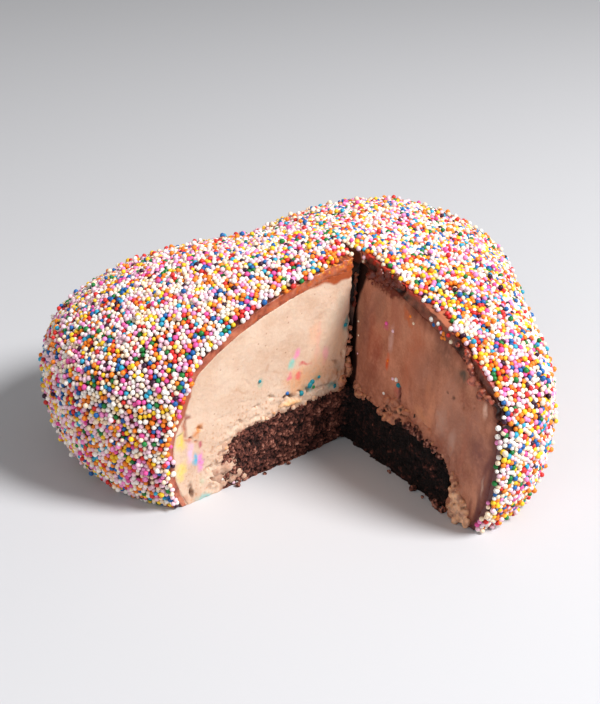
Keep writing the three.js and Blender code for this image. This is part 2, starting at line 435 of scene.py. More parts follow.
RIGHT_TEARS = (
    (27.4, 32.5, 4.2, 0.7, -15, 2.2), (25.3, 27, 2, 0.9, -65, 2.4), (30.5, 25, 3.2, 0.9, -80, 2.2),
    (44, 26.5, 5, 0.7, -80, 2), (48.5, 31, 6, 1, -10, -0.5), (60, 43, 0.9, 0.6, 10, 1.4),
    (65, 45, 0.8, 0.6, 0, 1.4), (22.5, 27, 3, 2, -70, -0.7), (36.5, 27, 4, 2.2, -60, -0.7),
    (57, 20, 3, 1, -30, 1.6), (63, 14, 3.5, 1.3, -20, 1.8), (69, 3, 3, 2.4, -30, -0.7),
)


def beside_slit(along, height):
    """How far a point of the left cut lies from the slit's crumbled edge, in mm."""
    ragged = 1.2 * face_noise(along, height, 4.0, 33.0) + 0.5 * face_noise(along, height, 1.7, 35.0)
    return along - np.interp(height, SLIT_HEIGHTS, SLIT_WIDTHS) + ragged


def cream_relief(cut, along, height, tears, seed, waves):
    """Depth of the cut ice cream below the knife's plane, in mm."""
    near_sponge = distances(sponge_surface, cut.point(along, height))
    torn = np.clip(1 - near_sponge / TEAR_WIDTH, 0, 1)
    depth = CREAM_SETBACK + waves * face_noise(along, height, 24, seed)
    depth += 0.25 * face_noise(along, height, 8.5, seed + 1)
    depth += 0.03 * face_noise(along, height, 1.7, seed + 3, stretch=14)
    depth += 0.08 * face_noise(along, height, 4.2, seed + 5, stretch=5)
    depth += (0.07 + 0.6 * torn) * face_noise(along, height, 2.7, seed + 7)
    depth += (0.06 + 0.7 * torn ** 2) * face_noise(along, height, 1.2, seed + 9)
    along, height = strayed(along, height)
    return depth + sum(mark[5] * cover(along, height, mark) for mark in tears)


def cream_left(along, height):
    """The left cut's relief, rounded off towards the slit."""
    rounded = SLIT_ROUNDING * np.clip(1 - beside_slit(along, height) / SLIT_ROUNDED, 0, 1) ** 2
    return cream_relief(left_cut, along, height, LEFT_TEARS, seed=1, waves=0.4) + rounded


def cream_right(along, height):
    """The right cut's relief, more wavy than the left one's."""
    return cream_relief(right_cut, along, height, RIGHT_TEARS, seed=21, waves=0.7)


def knife_slab(cut, start, cell, relief):
    """A slab that lies in the opening beside a cut, its inner face carrying the cut's relief."""
    columns, rows = int((CUT_END - start) / cell), int((CUT_TOP - CUT_FOOT) / cell)
    bpy.ops.object.select_all(action="DESELECT")
    bpy.ops.mesh.primitive_grid_add(x_subdivisions=columns, y_subdivisions=rows, size=1)
    slab = bpy.context.object
    grid = get_places(slab) + 0.5
    along = start + grid[:, 0] * (CUT_END - start)
    height = CUT_FOOT + grid[:, 1] * (CUT_TOP - CUT_FOOT)
    set_places(slab, cut.point(along, height, relief(along, height)))
    with edit_mode(slab, "SELECT"):
        outwards = OPENING * SLAB_THICKNESS * MM
        bpy.ops.mesh.extrude_region_move(TRANSFORM_OT_translate={"value": outwards})
        bpy.ops.mesh.select_all(action="SELECT")
        bpy.ops.mesh.normals_make_consistent(inside=False)
    return slab


def drop_scraps(piece):
    """Deletes the scraps that a cut left loose beside a piece: all that its top isn't part of."""
    with edit_mode(piece, "DESELECT"):
        bpy.ops.mesh.select_mode(type="VERT")
    piece.data.vertices[int(get_places(piece)[:, 2].argmax())].select = True
    with edit_mode(piece):
        bpy.ops.mesh.select_linked()
        bpy.ops.mesh.select_all(action="INVERT")
        bpy.ops.mesh.delete(type="VERT")


def cut_again(piece, cell, left_relief, right_relief, finishes):
    """Cuts both faces of the slice into a piece a little deeper, with the relief of real cuts.

    The cut faces take the last of the piece's finishes, and the rest of it the first.
    """
    for finish in finishes:
        piece.data.materials.append(finish)
    for cut, start, relief in ((left_cut, LEFT_START, left_relief), (right_cut, RIGHT_START, right_relief)):
        slab = knife_slab(cut, start, cell, relief)
        for finish in finishes:
            slab.data.materials.append(finish)
        slab.data.polygons.foreach_set("material_index", [len(finishes) - 1] * len(slab.data.polygons))
        apply_modifier(piece, "BOOLEAN", operation="DIFFERENCE", object=slab, solver="MANIFOLD")
        bpy.data.objects.remove(slab)
    drop_scraps(piece)


def close_gap(piece, surface):
    """Stretches the rim of a piece over the narrow gap to its neighbour's surface."""
    for vertex in piece.data.vertices:
        nearest, _, _, distance = surface.find_nearest(vertex.co)
        if 0 < distance < STRETCHED_RIM * MM:
            stretched = (distance / MM - NODE_GAP) * STRETCHED_RIM / (STRETCHED_RIM - NODE_GAP)
            vertex.co = nearest + (vertex.co - nearest) * (stretched * MM / distance)
            vertex.co.z = max(vertex.co.z, 0)


# What the knife dragged over the ice cream, with a few marks of painted shade and painted light among them:
# length along the cut, height, half-length, half-width, slant in degrees from upright, colour, and how
# thickly it lies from 0 to 1
LEFT_SMEARS = (
    (77, 28, 3.8, 2, 4, "#F2CC58", 0.9), (76.4, 16, 4.4, 2.2, 0, "#F4D36A", 0.9),
    (73.2, 22, 5.4, 1.3, 2, "#F0BCD6", 0.9), (70.6, 18.6, 2.8, 1.2, 4, "#46B4DA", 1),
    (68.6, 17, 4.8, 1.3, 2, "#E48CC8", 1), (66.5, 0.8, 1.6, 3.2, 0, "#7CC5C4", 0.8),
    (69, 24, 1.2, 1, 40, "#B24A5C", 0.9), (78, 31.6, 0.8, 1.4, 0, "#6A7420", 0.8),
    (67.5, 8, 2.2, 1.2, 0, "#BFD0B0", 0.5), (70.2, 30.2, 1.9, 2.6, 60, "#D08142", 0.9),
    (73.4, 28, 1.6, 1.2, 60, "#B4562C", 0.8), (70.8, 26, 1.1, 1.1, 0, "#B4603A", 0.8),
    (75.6, 33.5, 6, 1.1, 5, "#A8502E", 0.8), (74.5, 37.5, 2.2, 1.2, 20, "#8A3A26", 0.8),
    (72.5, 8, 1.8, 1, 5, "#6A3A22", 0.8), (71.6, 4.5, 2.4, 1, 5, "#5A3018", 0.7),
    (29.8, 43, 3.2, 1.6, 0, "#86CCBE", 0.9), (27.8, 46.2, 2.4, 1.4, 0, "#F08CBC", 0.8),
    (23.2, 41, 3.2, 0.8, 75, "#C83A48", 0.9), (26.2, 36.8, 2.2, 1.4, 20, "#E8407C", 1),
    (30.2, 37.6, 1.5, 1.2, 0, "#EC6C9C", 0.9), (13.7, 41.6, 4.2, 1.5, 0, "#F27CB0", 0.9),
    (18, 47, 9, 1.1, 0, "#F09A98", 0.45), (16.5, 33.4, 2.6, 1.6, 70, "#2E8C70", 0.7),
    (21.5, 30, 3.6, 1.2, 60, "#1F8E8E", 0.8), (9, 27, 2.6, 1.6, 80, "#2F7F7A", 0.7),
    (4.9, 51, 4, 1.6, 0, "#4F9A98", 0.8), (4.6, 44, 3, 1.2, 0, "#7FA89C", 0.4),
    (24, 35.5, 9, 4.5, 75, "#EE9C56", 0.5), (14, 36, 9, 4.5, 40, "#E8924E", 0.5),
    (20, 52, 6, 3, 20, "#F2B088", 0.4), (25, 31, 5, 2, 75, "#F0A870", 0.5),
    (7, 44, 9, 3.5, 10, "#E6B48A", 0.55), (12, 56, 7, 4, 10, "#C8BCA6", 0.3),
    (9, 62, 4, 2.4, 20, "#A8A898", 0.3), (7, 34, 3.5, 1.2, 30, "#6E5A42", 0.5),
    # Painted light: the #F2CCAC mark at 13, 43 lightens the shaded corner
    (75.6, 3, 2.4, 1.8, 60, "#AE6248", 0.8), (13, 43, 12, 9, 0, "#F2CCAC", 0.5),
    (9, 37, 2, 0.7, 60, "#7A4A34", 0.6), (5, 31, 4, 1.5, 70, "#B8764C", 0.6),
    (53, 40, 5, 0.8, 65, "#C09070", 0.5), (41, 45, 2, 0.8, 0, "#B98466", 0.5),
    # Painted shade: the #3A1C16 mark at 29.6, 29 and the #5A3024 one at 33.4, 26.8 darken two gouges
    (28.6, 26.3, 5.2, 1.6, 88, "#F6BC80", 0.9), (29.6, 29, 2.8, 0.6, 80, "#3A1C16", 1),
    (33.4, 26.8, 2.4, 0.4, -47, "#5A3024", 0.8), (61, 14, 2.6, 1.2, 30, "#8A4E36", 0.6),
    (60.5, 8, 1.8, 1.8, 0, "#8A523C", 0.6), (63.5, 20, 1.4, 0.9, 0, "#A2694C", 0.6),
    (66, 12, 1.6, 1, 50, "#9A5E44", 0.5), (64, 5, 1.2, 1, 0, "#8A523C", 0.5),
    (43.5, 40, 2.6, 1, 0, "#5FB5A2", 0.5), (37, 42, 3, 0.9, 70, "#C9A084", 0.5),
)
RIGHT_SMEARS = (
    (15.6, 55.5, 1.6, 1.3, 0, "#C03C78", 0.6), (18.8, 42, 2.8, 1.2, 0, "#D9541E", 1),
    (26.2, 33, 3, 1.6, -20, "#C0685A", 0.8), (19.3, 51.5, 6.5, 1.2, 0, "#C89C90", 0.8),
    (58, 54, 2.2, 1.8, -30, "#34453F", 0.9), (57, 52.5, 4.5, 4, -30, "#74503F", 0.4),
    # Painted highlight: the #E8BCA6 mark at 70.6, 46.5
    (70.6, 46.5, 3, 1.1, -10, "#E8BCA6", 0.9), (66.5, 10, 5, 0.8, 0, "#B88C7A", 0.5),
    (64.5, 3, 2, 1.2, 0, "#3E6E66", 0.8), (69, 5, 3, 1.2, 10, "#2E3A34", 0.6),
    (12, 44, 9, 3, 0, "#9A3C2A", 0.5), (8, 50, 12, 2, 0, "#C0603C", 0.5),
    (10, 62, 8, 5, 0, "#8E6656", 0.5), (20, 62, 9, 3, -20, "#A8624E", 0.5),
    (33, 52, 14, 5, 0, "#C47252", 0.5), (26.5, 63.5, 4, 1.6, -40, "#C8602C", 0.7),
    (45, 32, 9, 2, 0, "#DC9470", 0.6), (52, 26, 8, 1.8, 0, "#964A34", 0.4),
    (70, 30, 8, 3.4, 0, "#6A343A", 0.5), (38, 47, 9, 7, 20, "#94685A", 0.4),
    (63.6, 28, 12, 1.8, 0, "#C06E52", 0.5), (47, 60, 7, 4, -40, "#6A443C", 0.4),
    (53, 44, 10, 4, 10, "#AA7E6C", 0.4), (30, 40, 8, 3, -10, "#B4684C", 0.5),
    (58, 34, 9, 4, 0, "#B8806A", 0.4), (42, 41, 6, 1.5, 0, "#CC825C", 0.4),
    # Painted shade along the outer edge low down: the #7A4A44 mark at 76, 24
    (76, 24, 9, 1.6, 0, "#7A4A44", 0.5), (66, 38, 9, 3, 10, "#A06A5C", 0.4),
    (10, 34, 12, 10, 0, "#84483A", 0.5), (56, 20, 9, 13, 0, "#7E4A3E", 0.55),
    (28, 30, 5, 4.5, 0, "#84463A", 0.45), (60, 32, 10, 12, 0, "#8E6658", 0.35),
    # Painted shade in three gouges: the #3A2018 mark at 27.4, 31.5 and the #2A1612 ones at 25.3, 27 and
    # 30.5, 25
    (27.4, 31.5, 3.5, 0.5, -15, "#3A2018", 0.8), (25.3, 27, 1.6, 0.6, -65, "#2A1612", 0.9),
    (30.5, 25, 2.6, 0.6, -80, "#2A1612", 0.9), (75.8, 19, 4.4, 0.7, 0, "#DDB8A4", 0.9),
    (47.5, 56, 7, 5, -40, "#5A3428", 0.4), (5.5, 52, 12, 4.5, 0, "#7A4A44", 0.5),
    # Painted shade along the outer edge low down: the #7A4844 mark at 74, 26
    (74, 26, 12, 4, -5, "#7A4844", 0.5), (40, 30, 4, 2.2, -60, "#D8946C", 0.55),
    (51, 32, 6, 3, -10, "#C29A88", 0.5), (57.5, 27, 5, 1.6, 0, "#C8A494", 0.45),
    # Painted shade in two small pits at 55.3, 44 and 51.8, 44.6, and painted shadow under torn overhangs at
    # the seam: the #1E0E0A marks at 22.5 and 27.5, 24.4 and the #2A1612 one at 38, 25
    (55.3, 44, 0.7, 0.5, 0, "#3A2018", 0.8), (51.8, 44.6, 0.6, 0.5, 0, "#3A2018", 0.8),
    (22.5, 24.4, 3.4, 0.6, -85, "#1E0E0A", 0.9), (27.5, 24.4, 3.6, 0.6, -88, "#1E0E0A", 0.9),
    (38, 25, 5, 0.6, -80, "#2A1612", 0.8), (33, 36, 6, 1, -15, "#8C5442", 0.5),
)


def clean(count, colour):
    """Colours to be smeared over, as linear RGB with the thickness last: none as yet."""
    return np.tile(np.array(linear(colour)) * (1, 1, 1, 0), (count, 1))


def smear(colours, colour, thick):
    """Lays one more colour over such colours, as thickly as it says for each."""
    thick = np.clip(thick, 0, 1)
    under = np.maximum(colours[:, 3], 1e-6) * (1 - thick)
    colours[:, 3] = thick + under
    mixed = np.outer(thick, linear(colour)[:3]) + colours[:, :3] * under[:, None]
    colours[:, :3] = mixed / colours[:, 3:]


def smear_marks(along, height, marks, colours):
    """Lays all the marks that the knife dragged over points of a cut face."""
    along, height = strayed(along, height)
    ragged = 1 + 0.6 * face_noise(along, height, 1.6, 99.0, stretch=1.6)
    ragged += 0.7 * face_noise(along, height, 0.9, 97.0, stretch=1.6)
    for mark in marks:
        wider = (*mark[:2], 1.25 * mark[2], 1.35 * mark[3], mark[4])
        smear(colours, mark[5], np.clip(cover(along, height, wider) * ragged, 0, 1) * mark[6])


def marks_on_left(along, height, near_shell):
    """How much browner points of the left cut are, and the marks on them: bead sugar, a few marks of
    painted shade and light, the chocolate band beside the shell, torn grains above the sponge and the
    slit's edge in painted shade.
    """
    blotches = face_noise(along, height, 5.0, 7.0)
    marks = clean(len(along), CREAM_MID)
    smear_marks(along, height, LEFT_SMEARS, marks)
    reach = 3.6 * np.clip((27 - along) / 18, 0, 1) * (1 + 0.5 * blotches)
    smear(marks, DRAGGED_CHOCOLATE, (reach - near_shell) / 0.8 + 0.3)
    inner = np.interp(height, BAND_HEIGHTS, BAND_INNER) - 0.5 * blotches
    smear(marks, DRAGGED_BAND, -(inner + near_shell) / 0.5)
    above_sponge = distances(sponge_surface, left_cut.point(along, height))
    torn = 1.8 * face_noise(along, height, 0.9, 12.0) - 0.25
    smear(marks, TORN_GRAIN, torn * np.clip(1.4 - above_sponge / 16, 0, 1))
    smear(marks, TORN_FOOT_TAN, (2.0 + 1.2 * blotches - above_sponge) / 1.2)
    # Painted shade along the slit's edge
    smear(marks, PAINTED_CREVICE_SHADE, 0.3 - beside_slit(along, height) / 0.6)
    return LEFT_BROWNED * np.clip(1 - along / 17 + 0.5 * blotches, 0, 1), marks


def marks_on_right(along, height, near_shell):
    """The marks on points of the right cut: chocolate melted along the shell, with painted shade along it
    low down and under the rim near the corner, what was dragged over the middle with a few marks of painted
    shade and light, and the slit's edge in painted shade.
    """
    marks = clean(len(along), BROWNED_AND_SHADED_MID)
    streaks = face_noise(along, height, 2.2, 5.0, stretch=4)
    smear(marks, MELTED_CHOCOLATE, (1.0 - near_shell / 5.0 + 0.8 * streaks) * 0.65)
    low_down = np.clip((44 - height) / 8, 0, 1)
    smear(marks, SHADED_EDGE, (1.3 - near_shell / 3.5 + streaks) * 0.75 * low_down)
    smear_marks(along, height, RIGHT_SMEARS, marks)
    # Near the corner: melted chocolate, and painted shade under the chocolate lumps on the rim
    reach = 0.3 + 3.6 * np.clip((25 - along) / 9, 0, 1)
    grains = 1.6 * face_noise(along, height, 3.0, 8.0) + 1.6 * face_noise(along, height, 0.9, 9.0)
    smear(marks, MELTED_CHOCOLATE, (reach + grains - near_shell) / 1.8 + 0.3)
    past_slit = along - np.interp(height, BESIDE_HEIGHTS, BESIDE_STARTS)
    # Painted shade along the slit's edge
    smear(marks, PAINTED_CREVICE_SHADE, 0.5 - past_slit / 1.2 + 0.8 * streaks)
    return marks


def paint_cream(piece):
    """Keeps how much browner and more shaded the ice cream is, and the colour smeared over it with painted
    shade in the slit, at each vertex.
    """
    places = get_places(piece)
    near_shell = distances(shell_surface, places)
    browned_and_shaded, colours = np.ones(len(places)), clean(len(places), PAINTED_CREVICE_SHADE)
    along, height, depth = left_cut.read(places)
    on_left = (along > LEFT_FACE) & (np.abs(depth) < FACE_DEPTH)
    browned_and_shaded[on_left], colours[on_left] = marks_on_left(along[on_left], height[on_left],
                                                       near_shell[on_left])
    along, height, depth = right_cut.read(places)
    on_right = (along > RIGHT_FACE) & (np.abs(depth) < FACE_DEPTH) & ~on_left
    colours[on_right] = marks_on_right(along[on_right], height[on_right], near_shell[on_right])
    in_slit = ~on_left & ~on_right  # the only place where the rest of the ice cream shows
    # Painted shade over all of the ice cream that shows in the slit
    smear(colours, PAINTED_CREVICE_SHADE, in_slit)
    keep_values(piece, "browned_and_shaded", browned_and_shaded)
    keep_colours(piece, "smeared_colour", colours)


def smear_over(tree, shader, base):
    """Lays the colours that the knife smeared over a material's base colour."""
    smeared = add_node(tree, "ShaderNodeAttribute", {}, attribute_name="smeared_colour")
    final = add_node(tree, "ShaderNodeMix", {"Factor": smeared.outputs["Alpha"], 6: base,
                                             7: smeared.outputs["Color"]}, data_type="RGBA")
    tree.links.new(final.outputs[2], shader.inputs["Base Color"])


def cream_material():
    """Frozen ice cream cut by a cold knife: pale and satin, with faint marbling, fine grain and a few small
    air holes drawn as dark specks of painted shade. Where chocolate was dragged over it, it is browner and
    more blotched, and the right cut is browner still with painted shade.
    """
    material, tree, shader = new_material(
        "cut_chocolate_ice_cream", Roughness=0.5, IOR=1.35, Specular_IOR_Level=0.4,
        Subsurface_Weight=0.2, Subsurface_Scale=1.5 * MM, Subsurface_Radius=(1.0, 0.6, 0.4))
    place = add_node(tree, "ShaderNodeTexCoord", {}).outputs["Object"]
    upright = add_node(tree, "ShaderNodeMapping", {"Vector": place, "Scale": (1, 1, 0.2)}).outputs["Vector"]
    clouds = add_node(tree, "ShaderNodeTexNoise", {"Vector": place, "Scale": 1 / (9 * MM), "Detail": 5.0})
    streaks = add_node(tree, "ShaderNodeTexNoise", {"Vector": upright, "Scale": 1 / (2 * MM),
                                                    "Detail": 3.0})
    grain = add_node(tree, "ShaderNodeTexNoise", {"Vector": place, "Scale": 1 / (0.8 * MM), "Detail": 3.0})
    marbling = add_node(tree, "ShaderNodeMath", {0: streaks.outputs["Fac"], 1: 0.22,
                                                 2: clouds.outputs["Fac"]}, operation="MULTIPLY_ADD")
    marbling = add_node(tree, "ShaderNodeMath", {0: grain.outputs["Fac"], 1: 0.35,
                                                 2: marbling.outputs[0]}, operation="MULTIPLY_ADD")
    marbling = add_node(tree, "ShaderNodeMapRange", {"Value": marbling.outputs[0], "From Min": 0.5,
                                                     "From Max": 1.02})
    fair = add_node(tree, "ShaderNodeValToRGB", {"Fac": marbling.outputs[0]},
                    stops=((0.1, CREAM_MID), (0.8, CREAM_PALE)))
    brown = add_node(tree, "ShaderNodeValToRGB", {"Fac": marbling.outputs[0]},
                     stops=((0.0, BROWNED_AND_SHADED_DARK), (1.0, BROWNED_AND_SHADED_PALE), (0.45, BROWNED_AND_SHADED_MID)))
    # How much browner the ice cream is: dragged chocolate, and painted shade on the right cut
    browned_and_shaded = add_node(tree, "ShaderNodeAttribute", {}, attribute_name="browned_and_shaded")
    base = add_node(tree, "ShaderNodeMix", {"Factor": browned_and_shaded.outputs["Fac"], 6: fair.outputs["Color"],
                                            7: brown.outputs["Color"]}, data_type="RGBA")
    # Painted shade: dark specks where tiny air holes would lie in shadow
    holes = add_node(tree, "ShaderNodeTexVoronoi", {"Vector": place, "Scale": 1 / (4.2 * MM)})
    hole_shade = add_node(tree, "ShaderNodeMapRange", {"Value": holes.outputs["Distance"], "From Min": 0.1,
                                                 "From Max": 0.06, "To Max": 0.45})
    shaded_holes = add_node(tree, "ShaderNodeMix", {"Factor": hole_shade.outputs[0], 6: base.outputs[2],
                                             7: linear(BROWNED_AND_SHADED_DARK)}, data_type="RGBA")
    smear_over(tree, shader, shaded_holes.outputs[2])
    roughen(tree, shader, place, size=1.3 * MM, detail=5.0, height=0.3 * MM, strength=0.6)
    return material


cream = copy_of_node("ice_cream", "cut_ice_cream")
cut_again(cream, CREAM_CELL, cream_left, cream_right, [cream_material()])
paint_cream(cream)
close_gap(cream, shell_surface)
set_alone(cream)
bpy.ops.object.shade_smooth_by_angle(angle=math.radians(50))
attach(cream, "root")
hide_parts("ice_cream")


# --- Chocolate shell --------------------------------------------------------------------------
# Milk chocolate with a little coconut fat, poured over the frozen cake so that it sets in
# seconds: thick on top, thin down the sides. The knife cut its left edge clean and broke the
# right one back into chips, so that edge is rough and lies deeper.

# The cell of its cut edges' relief, how finely the skin is divided within a band beside each
# cut, how soon the edges leave the ice cream's level, and how large their chips are
SHELL_CELL, SKIN_BAND, SKIN_CUTS = 0.55, 14.0, 6
SEAM_WIDTH, CHIP_SIZE = 1.5, 6.0
SKIN_BROWN = "#6E3522"
SKIN_DARK = "#4A2016"
SKIN_LIT = "#B46A4C"
EDGE_LIGHT = "#CC8060"
EDGE_RED = "#AC5A42"
EDGE_DARK = "#6E3322"
EDGE_ORANGE = "#C85E28"
EDGE_GOLDEN = "#EBA03C"
EDGE_BROWN = "#8C4C3A"
# Painted shade for the recessed, broken right edge
EDGE_SHADE = "#391914"
EDGE_GLOWING = "#C4392A"
# Below these heights a cut's edge lies level with the ice cream beside it
LEFT_LEVEL, RIGHT_LEVEL = 60, 50
# The crack in the right edge: how far out it starts, its height, its slope, and how far it runs
# into the skin
CRACK_START, CRACK_HEIGHT, CRACK_SLOPE, CRACK_LENGTH = 75, 45.3, -0.55, 5.5
# Along the right cut's upper rim, at these lengths: how strong the painted shade on its recessed, broken
# edge is, how glowing its chocolate is, and how far its skin is bare of beads
RIM_PLACES = (0, 22, 27, 33, 38, 43, 48, 52, 59, 63, 69, 72, 77)
RIM_SHADE = (1.0, 1.0, 0.4, 0.3, 0.1, 0.0, 0.3, 0.9, 1.0, 0.4, 0.3, 0.9, 1.0)
RIM_GLOWING = (1.3, 1.5, 0.6, 0.2, 0.0, 0.0, 0.2, 0.1, 0.4, 1.2, 1.2, 0.4, 0.0)
RIM_BARE = (0.9, 0.9, 1.0, 1.6, 4.0, 3.6, 0.8, 0.6, 1.8, 0.6, 0.4, 1.2, 0.8)


def broken_edge(along, height, seed, setback, rough, chip_depth, chip_from):
    """Depth of the shell's edge below the knife's plane, in mm."""
    depth = setback + rough * face_noise(along, height, 3.2, seed)
    depth += 0.5 * rough * face_noise(along, height, 1.4, seed + 2)
    chips = np.maximum(0, face_noise(along, height, CHIP_SIZE, seed + 4) - chip_from)
    return np.maximum(0.05, depth + chip_depth * chips)


def from_cream(cut, along, height, broken, cream):
    """The shell's edge: level with the ice cream beside it, and broken a little away from it."""
    away = distances(cream_surface, cut.point(along, height)) / SEAM_WIDTH
    return cream + (broken - cream) * np.clip(away, 0, 1)


def shell_left(along, height):
    """The left edge's depth: rougher where it melted near the corner, and unchipped at the top."""
    melted = np.clip((26 - along) / 14, 0, 1)
    broken = broken_edge(along, height, seed=41, setback=0.5, rough=0.2 + 0.8 * melted,
                         chip_depth=3 * np.clip((76 - height) / 4, 0, 1), chip_from=0.4)
    cream = cream_left(along, height)
    broken += (cream - broken) * np.clip((LEFT_LEVEL - height) / 6, 0, 1)
    return from_cream(left_cut, along, height, broken, cream)


def shell_right(along, height):
    """The right edge's depth: broken well back, with a fallen chip and a crack under it."""
    broken = broken_edge(along, height, seed=61, setback=1.0, rough=0.7, chip_depth=5.0, chip_from=0.25)
    cream = cream_right(along, height)
    broken += (cream - broken) * np.clip((RIGHT_LEVEL - height) / 6, 0, 1)
    fallen = np.clip(1 - np.hypot((along - 74) / 4, (height - 48.5) / 2.5), 0, 1)
    crack = np.clip(1 - np.abs(height - CRACK_HEIGHT) / 0.7, 0, 1) * (along > CRACK_START)
    return from_cream(right_cut, along, height, broken + 3 * fallen + 6 * crack, cream)


def edge_marks_on_left(along, height, near_cream):
    """The left edge's colours: golden near the corner, creamy beside the ice cream."""
    blotches = face_noise(along, height, 2.6, 71.0)
    marks = clean(len(along), EDGE_RED)
    orange = 0.25 * (28 - along) / 14 + 0.6 * blotches + 1.8 * face_noise(along, height, 1.1, 77.0)
    smear(marks, EDGE_ORANGE, orange)
    golden = 4 * (face_noise(along, height, 1.1, 78.0) - 0.18)
    smear(marks, EDGE_GOLDEN, golden * (along < 26) * (near_cream > 2.6))
    creamy = np.interp(height, BAND_HEIGHTS, BAND_INNER) * (1 + 0.5 * blotches)
    smear(marks, CREAM_MID, (creamy - near_cream) / 0.5)
    return marks


def edge_marks_on_right(along, height, depth, near_cream):
    """The colours of the right edge and of the skin behind it, where a patch is bare of beads and painted
    as lit skin, with painted shade on the recessed edge, along its lower part, where a chip fell out and in
    the crack.
    """
    blotches = face_noise(along, height, 2.6, 73.0)
    marks = clean(len(along), EDGE_RED)
    beside_cut = np.clip((3.5 - depth) / 0.6, 0, 1)
    low_down = np.clip((RIGHT_LEVEL - height) / 5, 0, 1)
    bare = np.clip(1.5 - np.abs(along - 40) / 8, 0, 1) * np.clip(1.6 - depth / 6, 0, 1)
    smear(marks, SKIN_LIT, bare * (1 + 0.7 * blotches))
    smear(marks, EDGE_DARK, bare * 2.5 * (face_noise(along, height, 1.3, 75.0) - 0.2))
    inside = np.clip((4.4 - near_cream) / 0.8, 0, 1) * np.clip((1.8 - depth) / 0.6, 0, 1)
    smear(marks, EDGE_BROWN, inside)
    # Painted shade on the rim's recessed, broken edge
    rim_shade = np.interp(along, RIM_PLACES, RIM_SHADE)
    smear(marks, EDGE_SHADE, (rim_shade + 0.9 * blotches) * beside_cut)
    glowing = np.interp(along, RIM_PLACES, RIM_GLOWING) * np.clip(near_cream - 2.8, 0, 1)
    smear(marks, EDGE_GLOWING, glowing * (0.8 + 1.5 * blotches) * beside_cut)
    creamy = 2.3 * low_down
    smear(marks, SHADED_EDGE, (creamy - near_cream) / 0.3 * beside_cut)
    # Painted shade: a dark line along the lower edge, beyond the shaded strip
    smear(marks, EDGE_SHADE, (near_cream - creamy) / 0.3 * low_down * beside_cut)
    cracked = 1.2 - np.abs(height - CRACK_HEIGHT - CRACK_SLOPE * depth) / 0.9
    # Painted shade in the crack
    smear(marks, PAINTED_CREVICE_SHADE, cracked * (depth < CRACK_LENGTH + 1) * (along > CRACK_START))
    # Painted shade where a chip fell out
    smear(marks, EDGE_SHADE, 1.6 - np.hypot((along - 74.5) / 4, (height - 48) / 2))
    return marks


def paint_shell(piece):
    """Keeps the colour that the knife left on the shell's edges and the skin beside them, with painted
    shade and painted light among it.
    """
    places = get_places(piece)
    colours = clean(len(places), SKIN_BROWN)
    near_cream = distances(cream_surface, places)
    along, height, depth = left_cut.read(places)
    on_left = (along > LEFT_FACE) & (np.abs(depth) < FACE_DEPTH)
    colours[on_left] = edge_marks_on_left(along[on_left], height[on_left], near_cream[on_left])
    along, height, depth = right_cut.read(places)
    on_right = (along > -1) & (np.abs(depth) < SKIN_BAND) & ~on_left
    colours[on_right] = edge_marks_on_right(along[on_right], height[on_right], depth[on_right],
                                            near_cream[on_right])
    keep_colours(piece, "smeared_colour", colours)


def skin_material():
    """The outside of set milk chocolate: satin, a little wavy, in darker and lighter clouds."""
    material, tree, shader = new_material("poured_milk_chocolate", Roughness=0.4, IOR=1.45)
    place = add_node(tree, "ShaderNodeTexCoord", {}).outputs["Object"]
    clouds = add_node(tree, "ShaderNodeTexNoise", {"Vector": place, "Scale": 1 / (4 * MM), "Detail": 3.0})
    brown = add_node(tree, "ShaderNodeValToRGB", {"Fac": clouds.outputs["Fac"]},
                     stops=((0.35, SKIN_DARK), (0.65, SKIN_BROWN)))
    smear_over(tree, shader, brown.outputs["Color"])
    roughen(tree, shader, place, size=1.5 * MM, detail=3.0, height=0.3 * MM, strength=0.6)
    return material


def edge_material():
    """Milk chocolate where the knife went through: redder, waxy, streaked and smeared."""
    material, tree, shader = new_material("cut_milk_chocolate", Roughness=0.33, IOR=1.45)
    place = add_node(tree, "ShaderNodeTexCoord", {}).outputs["Object"]
    grain = add_node(tree, "ShaderNodeTexNoise", {"Vector": place, "Scale": 1 / (1.3 * MM), "Detail": 4.0})
    clouds = add_node(tree, "ShaderNodeTexNoise", {"Vector": place, "Scale": 1 / (6 * MM), "Detail": 2.0})
    shade = add_node(tree, "ShaderNodeMath", {0: grain.outputs["Fac"], 1: 0.4, 2: clouds.outputs["Fac"]},
                     operation="MULTIPLY_ADD")
    red = add_node(tree, "ShaderNodeValToRGB", {"Fac": shade.outputs[0]},
                   stops=((0.45, EDGE_DARK), (0.95, EDGE_LIGHT), (0.65, EDGE_RED)))
    smear_over(tree, shader, red.outputs["Color"])
    roughen(tree, shader, place, size=0.9 * MM, detail=4.0, height=0.3 * MM, strength=0.7)
    return material


shell = copy_of_node("chocolate_shell", "poured_shell")
refine_near_cuts(shell, SKIN_BAND, SKIN_CUTS)
cut_again(shell, SHELL_CELL, shell_left, shell_right, [skin_material(), edge_material()])
paint_shell(shell)
set_alone(shell)
bpy.ops.object.shade_smooth_by_angle(angle=math.radians(35))
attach(shell, "root")
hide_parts("chocolate_shell")


# --- Sugar beads ------------------------------------------------------------------------------
# Round sugar beads about 1.8 mm across, poured on while the chocolate was wet, so that they lie
# as close as they can and sink in a little. About half are white, and some sit on the dips
# between the others. Each colour is one piece, and the whites are three near tints.

# Every random draw comes from this one, so that the beads fall the same way each time
rng = np.random.default_rng(14)
BEAD_DIAMETER = 1.8 * MM
# Beads lie on skin at least this far out from the ice cream, not on the shell's inside
OUTER_SKIN = 1.5 * MM
# Shares of a bead's radius: how sizes vary, how deep beads sink, and how that varies
BEAD_SPREAD, BEAD_SINK, SINK_SPREAD = 0.09, 0.18, 0.09
# How many of its radii the middle of a bead keeps above the board
ABOVE_BOARD = 1.12
